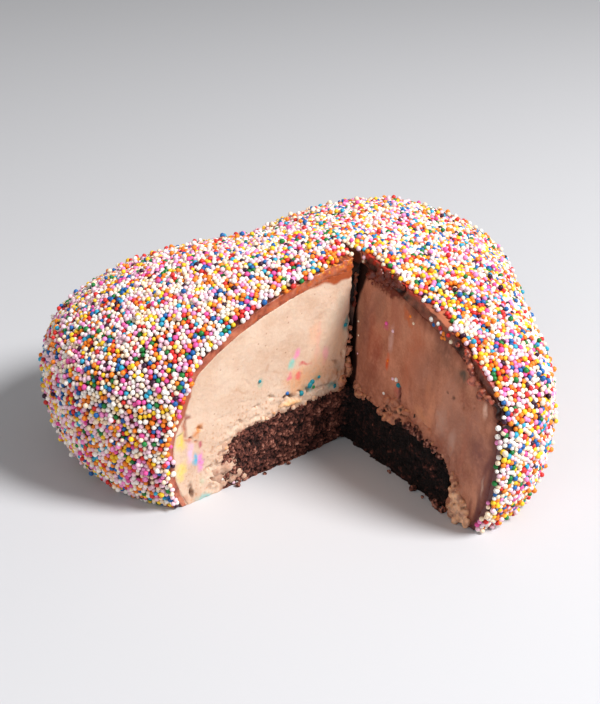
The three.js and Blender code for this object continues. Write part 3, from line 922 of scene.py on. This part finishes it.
# How much of the skin the beads cover, and how many rounds of pushing apart settle them
BEAD_COVER, SETTLE_ROUNDS = 0.92, 30
# How many beads lie on the others, how many radii higher, and how far any reaches past the model
UPPER_SHARE, UPPER_LIFT, REACH_LIMIT = 0.07, 1.35, 2.1 * MM
# Each colour and its share of the beads. Teal ones are only in the cut faces
BEAD_COLOURS = {
    "white": ("#F8F1E9", 0.18), "rose_white": ("#F4CAD8", 0.17), "cream_white": ("#F9E0C2", 0.17),
    "pink": ("#EE8CC4", 0.05), "rose": ("#E6549E", 0.03), "orange": ("#F28420", 0.11),
    "yellow": ("#F8C828", 0.085), "red": ("#D6302C", 0.07), "blue": ("#1F62A6", 0.055),
    "green": ("#1F7A38", 0.036), "sky": ("#2FA3C4", 0.028), "plum": ("#3A1830", 0.024),
    "teal": ("#16808E", 0.0),
}
# The size of the clusters that like colours fall in, and how strongly they are drawn together
CLUSTER_SIZE, CLUSTER_PULL = 3.6, 1.0
# The warm colours, and how much likelier they are in the middle of a warm stretch
WARM_COLOURS, WARM_PULL = ("orange", "yellow", "red"), 3.5
# Colours that lie a little thicker towards the left, by this share at FAIR_REACH from the middle
FAIR_COLOURS, FAIRER_LEFT = ("white", "rose_white", "pink", "rose"), 0.35
FAIR_REACH = 60 * MM
# Below these heights the knife dragged beads over the shell's cut edge. They cover it up to the
# chocolate band beside the ice cream, which on the right is RIGHT_BAND wide
DRAGGED_OVER = ((left_cut, 58.0), (right_cut, 44.0))
RIGHT_BAND = 1.6
# The share of beads that still stick to the strip of skin that the knife bared
LEFT_ON_STRIP = 0.25
# Stretches beside a cut where more warm-coloured beads lie: cut, length along it, half-length and
# reach into the cake
WARM_STRETCHES = ((left_cut, 8.0, 14.0, 6.0), (right_cut, 34.0, 18.0, 14.0), (right_cut, 62.0, 12.0, 7.0))


def beaded_faces():
    """The faces that beads can lie on, as triangles of points: the shell's outer skin, and its cut
    edges low down, but not its inside or its foot.
    """
    skin = frame["nodes"]["chocolate_shell"].data
    triangles = []
    for face in skin.polygons:
        outward = face.center - cream_surface.find_nearest(face.center)[0]
        beaded = outward.length > OUTER_SKIN and face.normal.dot(outward.normalized()) > 0.6
        for cut, top in DRAGGED_OVER:
            along, height, depth = cut.read(face.center)
            edge = abs(depth) < 0.05 and face.normal.dot(cut.inward) < -0.98
            beaded |= edge and along > 0 and height < top
        if beaded:
            triangles.append([skin.vertices[i].co for i in face.vertices])
    return triangles


def scatter(triangles, count):
    """Random points over triangles, as many on each as its area calls for."""
    corners = np.array(triangles)
    cross = np.cross(corners[:, 1] - corners[:, 0], corners[:, 2] - corners[:, 0])
    area = np.linalg.norm(cross, axis=1) / 2
    chosen = corners[rng.choice(len(corners), count, p=area / area.sum())]
    u, v = rng.random((2, count, 1))
    over = u + v > 1
    u, v = np.where(over, 1 - u, u), np.where(over, 1 - v, v)
    return chosen[:, 0] + u * (chosen[:, 1] - chosen[:, 0]) + v * (chosen[:, 2] - chosen[:, 0])


def close_pairs(points, reach):
    """Index pairs of points nearer than reach to each other, found cell by cell."""
    row = 2003  # more cells than the cake is long, so that no two cells share a number
    cells = np.floor(points / reach).astype(np.int64)
    key = (cells[:, 0] * row + cells[:, 1]) * row + cells[:, 2]
    order = np.argsort(key, kind="stable")
    ordered = key[order]
    found = []
    for step in [(x, y, z) for x in (-1, 0, 1) for y in (-1, 0, 1) for z in (-1, 0, 1)]:
        wanted = key + (step[0] * row + step[1]) * row + step[2]
        start = np.searchsorted(ordered, wanted, "left")
        stop = np.searchsorted(ordered, wanted, "right")
        for k in range(int((stop - start).max())):
            first = np.nonzero(start + k < stop)[0]
            second = order[start[first] + k]
            near = (first < second) & (
                ((points[first] - points[second]) ** 2).sum(1) < reach * reach)
            found.append(np.stack([first[near], second[near]], 1))
    return np.concatenate(found)


def onto(surface, points):
    """The nearest points of a surface, and its normals there."""
    hits = [surface.find_nearest(Vector(point)) for point in points]
    return np.array([hit[0] for hit in hits]), np.array([hit[1] for hit in hits])


def settle(surface, points, radii):
    """Pushes overlapping beads apart over the surface until they lie side by side."""
    reach = 2 * radii.max()
    for _ in range(SETTLE_ROUNDS):
        pairs = close_pairs(points, reach)
        gap = points[pairs[:, 0]] - points[pairs[:, 1]]
        distance = np.maximum(np.linalg.norm(gap, axis=1), 1e-9)
        overlap = np.maximum(radii[pairs[:, 0]] + radii[pairs[:, 1]] - distance, 0)
        push = gap / distance[:, None] * (0.5 * overlap)[:, None]
        np.add.at(points, pairs[:, 0], push)
        np.add.at(points, pairs[:, 1], -push)
        points, normals = onto(surface, points)
    return points, normals


def bare_width_left(along, height):
    """How far the skin lies bare beside the left cut: wide near the corner, nothing lower down."""
    return -0.5 + 2.8 * np.clip((24 - along) / 12, 0, 1)


def bare_width_right(along, height):
    """The same beside the right cut, where a patch of skin lost its beads."""
    return np.where(height > 47, np.interp(along, RIM_PLACES, RIM_BARE) - 0.3, -1.2)


def set_on_edge(cut, edge, dragged, places):
    """Sets the beads dragged over a cut edge down on its relief. Tells which of them don't stay,
    because they lie on the band beside the ice cream.
    """
    along, height, _ = cut.read(places[dragged])
    band = np.interp(height, BAND_HEIGHTS, BAND_OUTER) if cut is left_cut else RIGHT_BAND
    band = band + 0.5 * face_noise(along, height, 4.0, 83.0)
    on_band = distances(cream_surface, places[dragged]) < band
    places[dragged] += cut.inward * (edge(along, height) * MM)[:, None]
    return on_band


def lost_from_skin(cut, edge, bare_width, places):
    """Which beads the knife took from a ragged strip of the skin beside a cut, and from the crack."""
    along, height, depth = cut.read(places)
    edge_depth = edge(along, height)
    ragged = bare_width(along, height) * (1 + 1.2 * face_noise(along, height, 4.0, 80.0))
    gone = (depth < edge_depth + ragged) & (along > 0)
    gone &= (depth < edge_depth + 0.3) | (rng.random(len(places)) > LEFT_ON_STRIP)
    cracked = np.abs(height - CRACK_HEIGHT - CRACK_SLOPE * depth) < 0.8
    return gone | (cracked & (depth < CRACK_LENGTH) & (along > 55) & (cut is right_cut))


def lost_beads(places):
    """Which beads are gone: those under the foot, and those that the knife took at each cut. The
    ones that it dragged over a cut edge are set down there.
    """
    lost = places[:, 2] < 0.5 * MM
    edges, bare_widths = (shell_left, shell_right), (bare_width_left, bare_width_right)
    for (cut, top), edge, bare_width in zip(DRAGGED_OVER, edges, bare_widths):
        along, height, depth = cut.read(places)
        dragged = (along > 0) & (np.abs(depth) < 0.1) & (height < top)
        near = (along > -3) & (depth < 10) & (depth > -8) & ~dragged
        lost[dragged] |= set_on_edge(cut, edge, dragged, places)
        lost[near] |= lost_from_skin(cut, edge, bare_width, places[near])
    return lost


def nested(points, normals, radii):
    """Places for some beads on the dips between three others of the layer below."""
    tree = KDTree(len(points))
    for i, point in enumerate(points):
        tree.insert(point, i)
    tree.balance()
    chosen = rng.choice(len(points), int(UPPER_SHARE * len(points)), replace=False)
    places = np.array([points[[hit[1] for hit in tree.find_n(points[i], 3)]].mean(0) for i in chosen])
    places += normals[chosen] * (UPPER_LIFT * radii[chosen])[:, None]
    reach = radii[chosen][:, None] - REACH_LIMIT
    within = ((places + reach < np.array(model_box[1])) & (places - reach > np.array(model_box[0]))).all(1)
    within &= places[:, 2] > ABOVE_BOARD * radii[chosen]
    return places[within], radii[chosen][within]


def choose_colours(points):
    """A colour for each bead by its share, with like colours gathered into small clusters."""
    names = list(BEAD_COLOURS)
    odds = np.array([BEAD_COLOURS[name][1] * np.exp(CLUSTER_PULL * noise_at(points + i, CLUSTER_SIZE))
                     for i, name in enumerate(names)]).T
    fair = np.array([name in FAIR_COLOURS for name in names])
    odds[:, fair] *= 1 + FAIRER_LEFT * np.clip(-points[:, :1] / FAIR_REACH, -1, 1)
    warm = np.array([name in WARM_COLOURS for name in names])
    for cut, middle, half, reach in WARM_STRETCHES:
        along, _, depth = cut.read(points)
        near = np.clip(1 - np.abs(along - middle) / half, 0, 1) * np.clip(1.5 - np.abs(depth) / reach, 0, 1)
        odds[:, warm] *= 1 + WARM_PULL * near[:, None]
    odds /= odds.sum(1, keepdims=True)
    drawn = (odds.cumsum(1) > rng.random((len(points), 1))).argmax(1)
    return np.array(names)[drawn]


def bead_form():
    """One bead of 24 four-sided faces, as points and faces: a cube divided once and drawn to a ball."""
    bpy.ops.object.select_all(action="DESELECT")
    bpy.ops.mesh.primitive_cube_add(size=1)
    bead = bpy.context.object
    with edit_mode(bead, "SELECT"):
        bpy.ops.mesh.subdivide(number_cuts=1)
    points = get_places(bead)
    faces = np.array([face.vertices for face in bead.data.polygons])
    bpy.data.objects.remove(bead)
    return points / np.linalg.norm(points, axis=1, keepdims=True), faces


def random_turns(count):
    """As many random rotations, as matrices."""
    turns = rng.normal(size=(4, count))
    w, x, y, z = turns / np.linalg.norm(turns, axis=0)
    return np.stack([
        1 - 2 * (y * y + z * z), 2 * (x * y - z * w), 2 * (x * z + y * w),
        2 * (x * y + z * w), 1 - 2 * (x * x + z * z), 2 * (y * z - x * w),
        2 * (x * z - y * w), 2 * (y * z + x * w), 1 - 2 * (x * x + y * y)], 1).reshape(-1, 3, 3)


def bead_mesh(name, centres, radii):
    """All the beads of one colour as one mesh, each a little out of round and turned its own way."""
    form, faces = bead_form()
    squash = 1 + rng.normal(0, 0.05, (len(centres), 1, 3)).clip(-0.1, 0.1)
    shapes = (form[None] * squash) @ random_turns(len(centres))
    points = centres[:, None] + shapes * radii[:, None, None]
    corners = faces[None] + len(form) * np.arange(len(centres))[:, None, None]
    mesh = bpy.data.meshes.new(name)
    mesh.vertices.add(points.shape[0] * points.shape[1])
    mesh.vertices.foreach_set("co", points.astype(np.float32).ravel())
    mesh.loops.add(corners.size)
    mesh.loops.foreach_set("vertex_index", corners.astype(np.int32).ravel())
    mesh.polygons.add(corners.size // 4)
    mesh.polygons.foreach_set("loop_start", np.arange(0, corners.size, 4, dtype=np.int32))
    mesh.polygons.foreach_set("use_smooth", np.ones(corners.size // 4, dtype=bool))
    mesh.update(calc_edges=True)
    shade = mesh.attributes.new("bead_shade", "FLOAT", "POINT")
    shade.data.foreach_set("value", np.repeat(rng.random(len(centres)), len(form)).astype(np.float32))
    return mesh


def bead_material(name, colour):
    """Pressed sugar with a thin coloured glaze: satin, and each bead a little lighter or darker."""
    material, tree, shader = new_material("glazed_sugar_" + name, Roughness=0.42, IOR=1.5,
                                          Specular_IOR_Level=0.35)
    shade = add_node(tree, "ShaderNodeAttribute", {}, attribute_name="bead_shade")
    value = add_node(tree, "ShaderNodeMapRange", {"Value": shade.outputs["Fac"], "To Min": 0.9,
                                                  "To Max": 1.1})
    tint = add_node(tree, "ShaderNodeHueSaturation", {"Color": linear(colour), "Value": value.outputs[0]})
    tree.links.new(tint.outputs["Color"], shader.inputs["Base Color"])
    return material


# Beads that the knife pushed into the ice cream: colour, length along the cut, height and radius
LEFT_STRAYS = (
    ("teal", 19.8, 30.5, 1.35), ("teal", 18.9, 31.6, 1), ("teal", 7.7, 25.8, 1.2),
    ("teal", 23.7, 28.3, 1), ("blue", 30.6, 30.8, 0.8), ("teal", 15.8, 32.6, 0.7),
    ("teal", 43.9, 40.6, 0.7), ("green", 18, 29, 0.7), ("teal", 5.2, 51, 0.8), ("white", 58.5, 5, 0.8),
    ("white", 51.5, 0.9, 0.8), ("white", 49.8, 0.9, 0.7), ("rose_white", 53, 0.9, 0.7),
)
RIGHT_STRAYS = (
    ("rose", 15.4, 56.5, 0.85), ("rose_white", 19.5, 55, 0.7), ("orange", 18.8, 42.5, 0.6),
    ("white", 24.7, 37.2, 0.9), ("teal", 26.2, 35.6, 0.95), ("rose_white", 22.8, 36.8, 0.7),
    ("white", 19, 28.9, 0.7), ("orange", 27.8, 64.2, 0.7), ("cream_white", 29.9, 62.3, 0.7),
    ("white", 38.3, 67.3, 1), ("blue", 40.1, 65.9, 0.9), ("white", 41.9, 67, 0.8),
    ("red", 43.3, 65.9, 0.8), ("orange", 45.4, 64.6, 0.9), ("orange", 46.4, 63.2, 0.9),
    ("rose_white", 44.2, 64.6, 0.7), ("orange", 44.9, 62.9, 0.8), ("cream_white", 49.4, 63.2, 0.8),
    ("red", 47.6, 65, 0.8), ("cream_white", 0.6, 45.5, 0.5), ("cream_white", -0.4, 51, 0.5),
    ("rose_white", 1.3, 38, 0.4), ("rose_white", -1.6, 76.4, 0.9), ("cream_white", -1.9, 74.8, 0.7),
    ("teal", 66, 1.5, 0.8), ("green", 70.2, 4.2, 0.7), ("teal", 62.8, 5.2, 0.7),
)


def strays(cut, listed):
    """Centres, radii and colours of the beads that the knife pushed into a cut."""
    centres = np.array([cut.point(along, height, CREAM_SETBACK + 0.3 * radius)
                        for _, along, height, radius in listed])
    radii = np.array([radius * MM for *_, radius in listed])
    centres[:, 2] = np.maximum(centres[:, 2], radii)
    return centres, radii, np.array([colour for colour, *_ in listed])


skin = beaded_faces()
skin_area = sum((b - a).cross(c - a).length / 2 for a, b, c in skin)
bead_count = int(BEAD_COVER * skin_area / (math.pi * (BEAD_DIAMETER / 2) ** 2))
skin_surface = BVHTree.FromPolygons([point for triangle in skin for point in triangle],
                                    [(i, i + 1, i + 2) for i in range(0, 3 * len(skin), 3)])
radii = BEAD_DIAMETER / 2 * (1 + BEAD_SPREAD * rng.standard_normal(bead_count).clip(-2, 2))
feet, ups = settle(skin_surface, scatter(skin, bead_count), radii)
kept = ~lost_beads(feet)
feet, ups, radii = feet[kept], ups[kept], radii[kept]
sink = BEAD_SINK + SINK_SPREAD * rng.standard_normal(len(feet)).clip(-2, 2)
centres = feet + ups * (radii * (1 - sink))[:, None]
centres[:, 2] = np.maximum(centres[:, 2], ABOVE_BOARD * radii)
upper_centres, upper_radii = nested(centres, ups, radii)
centres, radii = np.concatenate([centres, upper_centres]), np.concatenate([radii, upper_radii])
colours = choose_colours(centres)
for cut, listed in ((left_cut, LEFT_STRAYS), (right_cut, RIGHT_STRAYS)):
    more = strays(cut, listed)
    centres, radii, colours = (np.concatenate(pair) for pair in zip((centres, radii, colours), more))
for name, (colour, _) in BEAD_COLOURS.items():
    mine = colours == name
    beads = bpy.data.objects.new("beads_" + name, bead_mesh("beads_" + name, centres[mine], radii[mine]))
    bpy.context.scene.collection.objects.link(beads)
    beads.data.materials.append(bead_material(name, colour))
    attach(beads, "root")


# --- Torn bits --------------------------------------------------------------------------------
# What came loose with the slice: small lumps of ice cream along the torn seam above the sponge, in
# the slit and at the foot of the cuts, chips of chocolate under the right rim, and sponge crumbs.

LUMP_CELL = 0.35 * MM
TORN_TAN = "#D99A6C"
RIGHT_FOOT_HIGHLIGHT = "#FAC49C"
SALMON_CHIP = "#E48672"
# Where that chip is on the right cut: length along it, height and depth
SALMON_CHIP_PLACE = (63, 54.4, 0.4)


def on(cut, listed):
    """Lumps on a cut, listed by their length along it, height, depth into the cake and radius."""
    return [(cut, *lump) for lump in listed]


# Lumps of ice cream: at the foot and along the seam of the right cut, and one on the left
CREAM_LUMPS = (
    on(right_cut, (
        (64.5, 9, 0.6, 2.2), (66.5, 5.5, 0.2, 2.6), (69.5, 2.2, 0.2, 2.4), (65, 2, -0.1, 2.2),
        (67.4, 1, -0.6, 1.9), (63, 12, 0.7, 1.6), (72, 1.6, 0.2, 1.7), (70.5, 5, 0.6, 1.8),
        (3, 25.5, 0.8, 2.2), (5.5, 23, 0.8, 1.9), (8.5, 22.6, 0.9, 1.5), (11.5, 24, 0.8, 1.5)))
    + on(left_cut, ((4, 27, 1, 1.8),))
    + on(right_cut, (
        (20, 25, 0.9, 1.5), (62.2, 3, 0.4, 1.3), (63.4, 6.4, 0.3, 1.2), (62, 9.5, 0.6, 1.1),
        (68.6, 7.6, 0.5, 1.2), (61.2, 14.6, 0.8, 1.1), (67.6, 3.6, -0.9, 1.1), (70.9, 3.4, -0.6, 0.9),
        (19, 21.5, 0.6, 1.8), (22.5, 20.6, 0.6, 2), (26, 20.9, 0.7, 1.8), (22, 27.5, 1, 2),
        (26, 28.4, 1.1, 1.7), (29.5, 27.2, 1, 1.8), (33, 27.6, 1, 1.8), (37.5, 28, 1.2, 1.6)))
)
# The ice cream's foot on the left, torn down over the end of the sponge
TORN_FOOT = on(left_cut, (
    (57.6, 19.4, 2.8, 3), (56.8, 16.4, 2.7, 3), (60, 17, 3.7, 4), (55.6, 12.8, 2.8, 3),
    (59, 13, 3.7, 4), (54.7, 9.6, 2.7, 3), (57.6, 10, 3.6, 4), (61, 9.5, 3.8, 4), (53.3, 6.6, 2.8, 3),
    (56.5, 6.2, 3.6, 4), (60, 5.5, 3.7, 4), (51.2, 4.4, 1.9, 2.2), (53.6, 3.2, 2.6, 3),
    (57, 2.5, 3, 3.4), (50.6, 1.8, 1.7, 2), (48.6, 2, 1.7, 1.8)))
# Crumbs that nearly close the lower half of the slit
SLIT_CRUMBS = on(left_cut, (
    (1.9, 48.5, 1.6, 0.9), (1.2, 44.6, 1.8, 1.3), (2, 42.9, 1.3, 0.8), (1, 39.2, 1.8, 1.5),
    (2.4, 37.8, 1.3, 0.9), (0.7, 34.4, 1.7, 1.2), (2, 33, 1.2, 1.4), (0.3, 30.8, 1.7, 1.6),
    (1.6, 29.2, 1.1, 1.3), (2.8, 27.6, 1.2, 1.5), (-0.5, 28, 1.6, 1.2), (2.9, 40.8, 1.4, 0.7)))
# A thread of melted chocolate and cream that hangs in the slit, as steps of small lumps
SLIT_THREAD = on(right_cut, (
    (0.4 * math.sin(0.3 * step) - 2.6, 57 + 0.6 * step, -0.6, 0.6 + 0.15 * math.cos(0.35 * step))
    for step in range(22)))
# Dark melted chocolate under the right cut's rim, and the chips broken from it farther down
MELTED_LUMPS = on(right_cut, (
    (2.5, 70.5, 1.2, 1.6), (5, 71.5, 1, 1.8), (7.5, 71, 1.3, 1.6), (10, 72.5, 1, 2),
    (12.5, 71.8, 1.2, 1.5), (14.5, 73.2, 1, 1.8), (17, 73, 1.1, 1.6), (19.5, 73.4, 1.1, 1.5),
    (8.5, 74.2, 0.9, 1.5), (13, 75, 0.9, 1.5), (17.5, 75.5, 0.9, 1.3), (21.5, 72.6, 1.2, 1.1),
    (15.5, 70.6, 1.2, 0.8), (11, 69.6, 1.2, 0.7), (5, 68.6, 1.2, 0.8), (57.4, 63, 0.7, 1.1),
    (58.3, 61.6, 0.6, 1.3), (59.7, 60.1, 0.6, 1.2), (61.1, 58.4, 0.5, 1.3), (62.4, 56.8, 0.5, 1.3),
    (63.4, 54.6, 0.2, 1.4), (61.9, 53.6, 0.7, 1.1), (66.3, 51.2, 0.6, 0.9), (67.7, 51, 0.4, 1.3),
    (68.8, 52.6, 0.3, 1.5), (71.3, 52, 0.2, 1.4), (73, 51.2, 0.3, 1.1), (53, 63.6, 0.8, 0.9),
    (66, 54.6, 0.3, 1.1)))
# Crumbs of sponge: on the board before the cuts, beside the torn foot, and along the right seam
FOOT_CRUMBS = (
    on(left_cut, (
        (52.5, 0.8, -0.9, 0.8), (40, 0.6, -1, 0.6), (29, 0.7, -1.1, 0.7)))
    + on(right_cut, (
        (30, 0.7, -1.2, 0.7), (44, 0.8, -1, 0.9), (57, 1.1, -0.8, 1.5), (60.5, 0.9, -1, 1.2),
        (58.6, 0.8, -1.2, 1.1), (50, 0.6, -1.3, 0.6)))
    + on(left_cut, (
        (58.7, 13, 0.7, 0.8), (57.3, 11.1, 0.7, 0.9), (56, 12.3, 0.6, 1), (54.4, 7.3, 0.5, 1.1),
        (52.9, 5.3, 0.5, 0.9), (56.1, 5.8, 0.7, 0.7), (57.6, 9.5, 0.8, 0.7), (55.2, 9.6, 0.5, 1),
        (50.6, 3.9, 0.3, 0.9), (54.6, 14.6, 0.6, 1.1), (53.6, 10.6, 0.5, 1.2), (55, 17, 0.6, 1)))
    + on(right_cut, (
        (35, 22.4, 1, 1.7), (38.5, 22.3, 1, 1.8), (42, 22, 1, 1.8), (46, 21.4, 1, 1.7),
        (50, 20.4, 1, 1.7), (53, 19.3, 1, 1.5)))
)


def strewn(cut, start, end, tries):
    """Small torn lumps of ice cream along its seam with the sponge, between two lengths of a cut."""
    along, height = rng.uniform(start, end, tries), rng.uniform(8, 30, tries)
    off = distances(sponge_surface, cut.point(along, height))
    near = (off > 0.3) & (off < 2.2)
    sizes = rng.uniform(0.35, 0.95, tries)
    return on(cut, zip(along[near], height[near], CREAM_SETBACK + 0.4 * sizes[near], sizes[near]))


def lumps(name, listed, roughness):
    """One piece of small, rough lumps, each out of round, grown together where they touch."""
    bpy.ops.object.select_all(action="DESELECT")
    made = []
    for cut, along, height, depth, radius in listed:
        bpy.ops.mesh.primitive_ico_sphere_add(
            subdivisions=3, radius=radius * MM, location=cut.point(along, height, depth),
            rotation=rng.uniform(0, math.pi, 3), scale=rng.uniform(0.65, 1.3, 3))
        made.append(bpy.context.object)
    for lump in made:
        lump.select_set(True)
    bpy.ops.object.transform_apply(location=True)
    bpy.ops.object.join()
    piece = bpy.context.object
    piece.name = name
    apply_modifier(piece, "REMESH", mode="VOXEL", voxel_size=LUMP_CELL, adaptivity=0.0)
    places, normals = get_places(piece), get_normals(piece)
    crumbs, own = crumbs_at(places, 1.8)
    rise = 0.5 * crumbs + 0.7 * own + 0.7 * noise_at(places, 2.2) + 0.3 * noise_at(places, 0.9)
    places += normals * (roughness * rise * MM)[:, None]
    places[:, 2] = np.maximum(places[:, 2], 0)
    set_places(piece, places)
    bpy.ops.object.shade_smooth()
    return piece


def paint_cream_bits(piece):
    """Colours the lumps of ice cream: pale on the left cut, browner with painted shade on the right one,
    with painted highlights at its foot and painted shade in the gaps between them, and dark with chocolate
    high up in the slit.
    """
    places = get_places(piece)
    height = places[:, 2] / MM
    to_right = np.clip((places[:, 0] / MM + 14) / 8, 0, 1)
    keep_values(piece, "browned_and_shaded", 0.05 + 0.95 * to_right)
    colours = clean(len(places), TORN_TAN)
    smear(colours, TORN_TAN, 0.3 + 1.2 * noise_at(places, 1.6) - 0.35 * to_right)
    smear(colours, MELTED_CHOCOLATE, 1.6 * noise_at(places, 1.3) - 0.35)
    right_foot = to_right * np.clip((16 - height) / 4, 0, 1)
    # Painted highlights on the lumps at the right cut's foot
    smear(colours, RIGHT_FOOT_HIGHLIGHT, right_foot * (0.45 + 2.4 * noise_at(places + 2, 1.6)))
    # Painted shade in the gaps between the lumps on the right
    smear(colours, PAINTED_CREVICE_SHADE, to_right * (2.0 * noise_at(places + 3, 1.5) - 0.45))
    smear(colours, MELTED_CHOCOLATE, (height > 55) * (1 - 0.4 * (height - 58) / 15))
    keep_colours(piece, "smeared_colour", colours)


def paint_cream_foot(piece):
    """Colours the torn foot of the left cut: tan, with a few darker holes."""
    places = get_places(piece)
    keep_values(piece, "browned_and_shaded", np.full(len(places), 0.1))
    colours = clean(len(places), TORN_FOOT_TAN)
    smear(colours, TORN_FOOT_TAN, 0.75 + 0.8 * noise_at(places, 2.6))
    smear(colours, BROWNED_AND_SHADED_DARK, 1.2 * noise_at(places + 1, 1.3) - 0.3)
    keep_colours(piece, "smeared_colour", colours)


def paint_chocolate_bits(piece):
    """Colours the chocolate: chips in glowing and dark red with one salmon one, and dark brown
    under the upper rim.
    """
    places = get_places(piece)
    height = places[:, 2] / MM
    colours = clean(len(places), EDGE_RED)
    smear(colours, EDGE_GLOWING, 1.5 * noise_at(places, 1.5))
    smear(colours, MELTED_CHOCOLATE, 0.5 + 1.6 * noise_at(places, 1.2))
    from_salmon = np.linalg.norm(places - right_cut.point(*SALMON_CHIP_PLACE), axis=1) / MM
    smear(colours, SALMON_CHIP, 2.4 - from_salmon)
    speckles = 1.2 * np.clip(noise_at(places, 1.0), 0, 1)
    smear(colours, MELTED_CHOCOLATE, (height - 64) / 3 - speckles)
    keep_colours(piece, "smeared_colour", colours)


strewn_lumps = strewn(left_cut, start=2, end=61, tries=500)
strewn_lumps += strewn(right_cut, start=2, end=64, tries=400)
cream_bits = lumps("torn_cream_bits", CREAM_LUMPS + SLIT_CRUMBS + SLIT_THREAD + strewn_lumps,
                   roughness=0.8)
paint_cream_bits(cream_bits)
cream_bits.data.materials.append(cream.data.materials[0])
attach(cream_bits, "root")

cream_foot = lumps("torn_cream_foot", TORN_FOOT, roughness=0.25)
paint_cream_foot(cream_foot)
cream_foot.data.materials.append(cream.data.materials[0])
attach(cream_foot, "root")

chocolate_bits = lumps("torn_chocolate_bits", MELTED_LUMPS, roughness=0.45)
paint_chocolate_bits(chocolate_bits)
chocolate_bits.data.materials.append(shell.data.materials[1])
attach(chocolate_bits, "root")

crumbs = lumps("sponge_crumbs", FOOT_CRUMBS, roughness=1.0)
keep_values(crumbs, "crumb_light", 0.5 + 0.5 * noise_at(get_places(crumbs), 0.9))
crumbs.data.materials.append(sponge.data.materials[0])
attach(crumbs, "root")


# --- Floor, light and camera ------------------------------------------------------------------
# A plain pale floor, a large soft lamp high on the right as in a studio, a weaker one on the
# left, and a long-lens camera that looks down on the slice.

FLOOR_PALE = "#C9C9CC"
FLOOR_SIZE = 6.0
ROOM_LIGHT = 0.28
LAMP_TARGET = Vector((0, 0, 0.03))
CAMERA_PLACE = Vector((-277.5, -315.3, 241.7)) * MM
CAMERA_TARGET = Vector((-14.1, 8.3, 36.8)) * MM
LENS = 64.2
SENSOR = 36.0


def look(thing, place, target):
    """Sets a lamp or a camera at a place, facing a target."""
    thing.location = place
    thing.rotation_euler = (target - place).to_track_quat("-Z", "Y").to_euler()


def soft_lamp(name, place, size, power):
    """Hangs up a round, soft lamp that faces the cake."""
    lamp = bpy.data.objects.new(name, bpy.data.lights.new(name, "AREA"))
    lamp.data.shape = "DISK"
    lamp.data.size = size
    lamp.data.energy = power
    look(lamp, Vector(place), LAMP_TARGET)
    bpy.context.scene.collection.objects.link(lamp)


bpy.ops.object.select_all(action="DESELECT")
bpy.ops.mesh.primitive_plane_add(size=FLOOR_SIZE)
floor = bpy.context.object
floor.name = "studio_floor"
floor_material, _, _ = new_material("studio_paper", Base_Color=linear(FLOOR_PALE), Roughness=0.8)
floor.data.materials.append(floor_material)

soft_lamp("key_lamp", place=(0.45, -0.9, 1.1), size=0.55, power=33)
soft_lamp("fill_lamp", place=(-1.2, -0.5, 0.8), size=1.0, power=4)
world = bpy.data.worlds.new("studio")
world.use_nodes = True
world.node_tree.nodes["Background"].inputs["Color"].default_value = (1, 1, 1, 1)
world.node_tree.nodes["Background"].inputs["Strength"].default_value = ROOM_LIGHT
bpy.context.scene.world = world
bpy.context.scene.view_settings.view_transform = "Standard"

camera = bpy.data.objects.new("camera", bpy.data.cameras.new("camera"))
camera.data.lens = LENS
camera.data.sensor_width = SENSOR
look(camera, CAMERA_PLACE, CAMERA_TARGET)
bpy.context.scene.collection.objects.link(camera)
bpy.context.scene.camera = camera
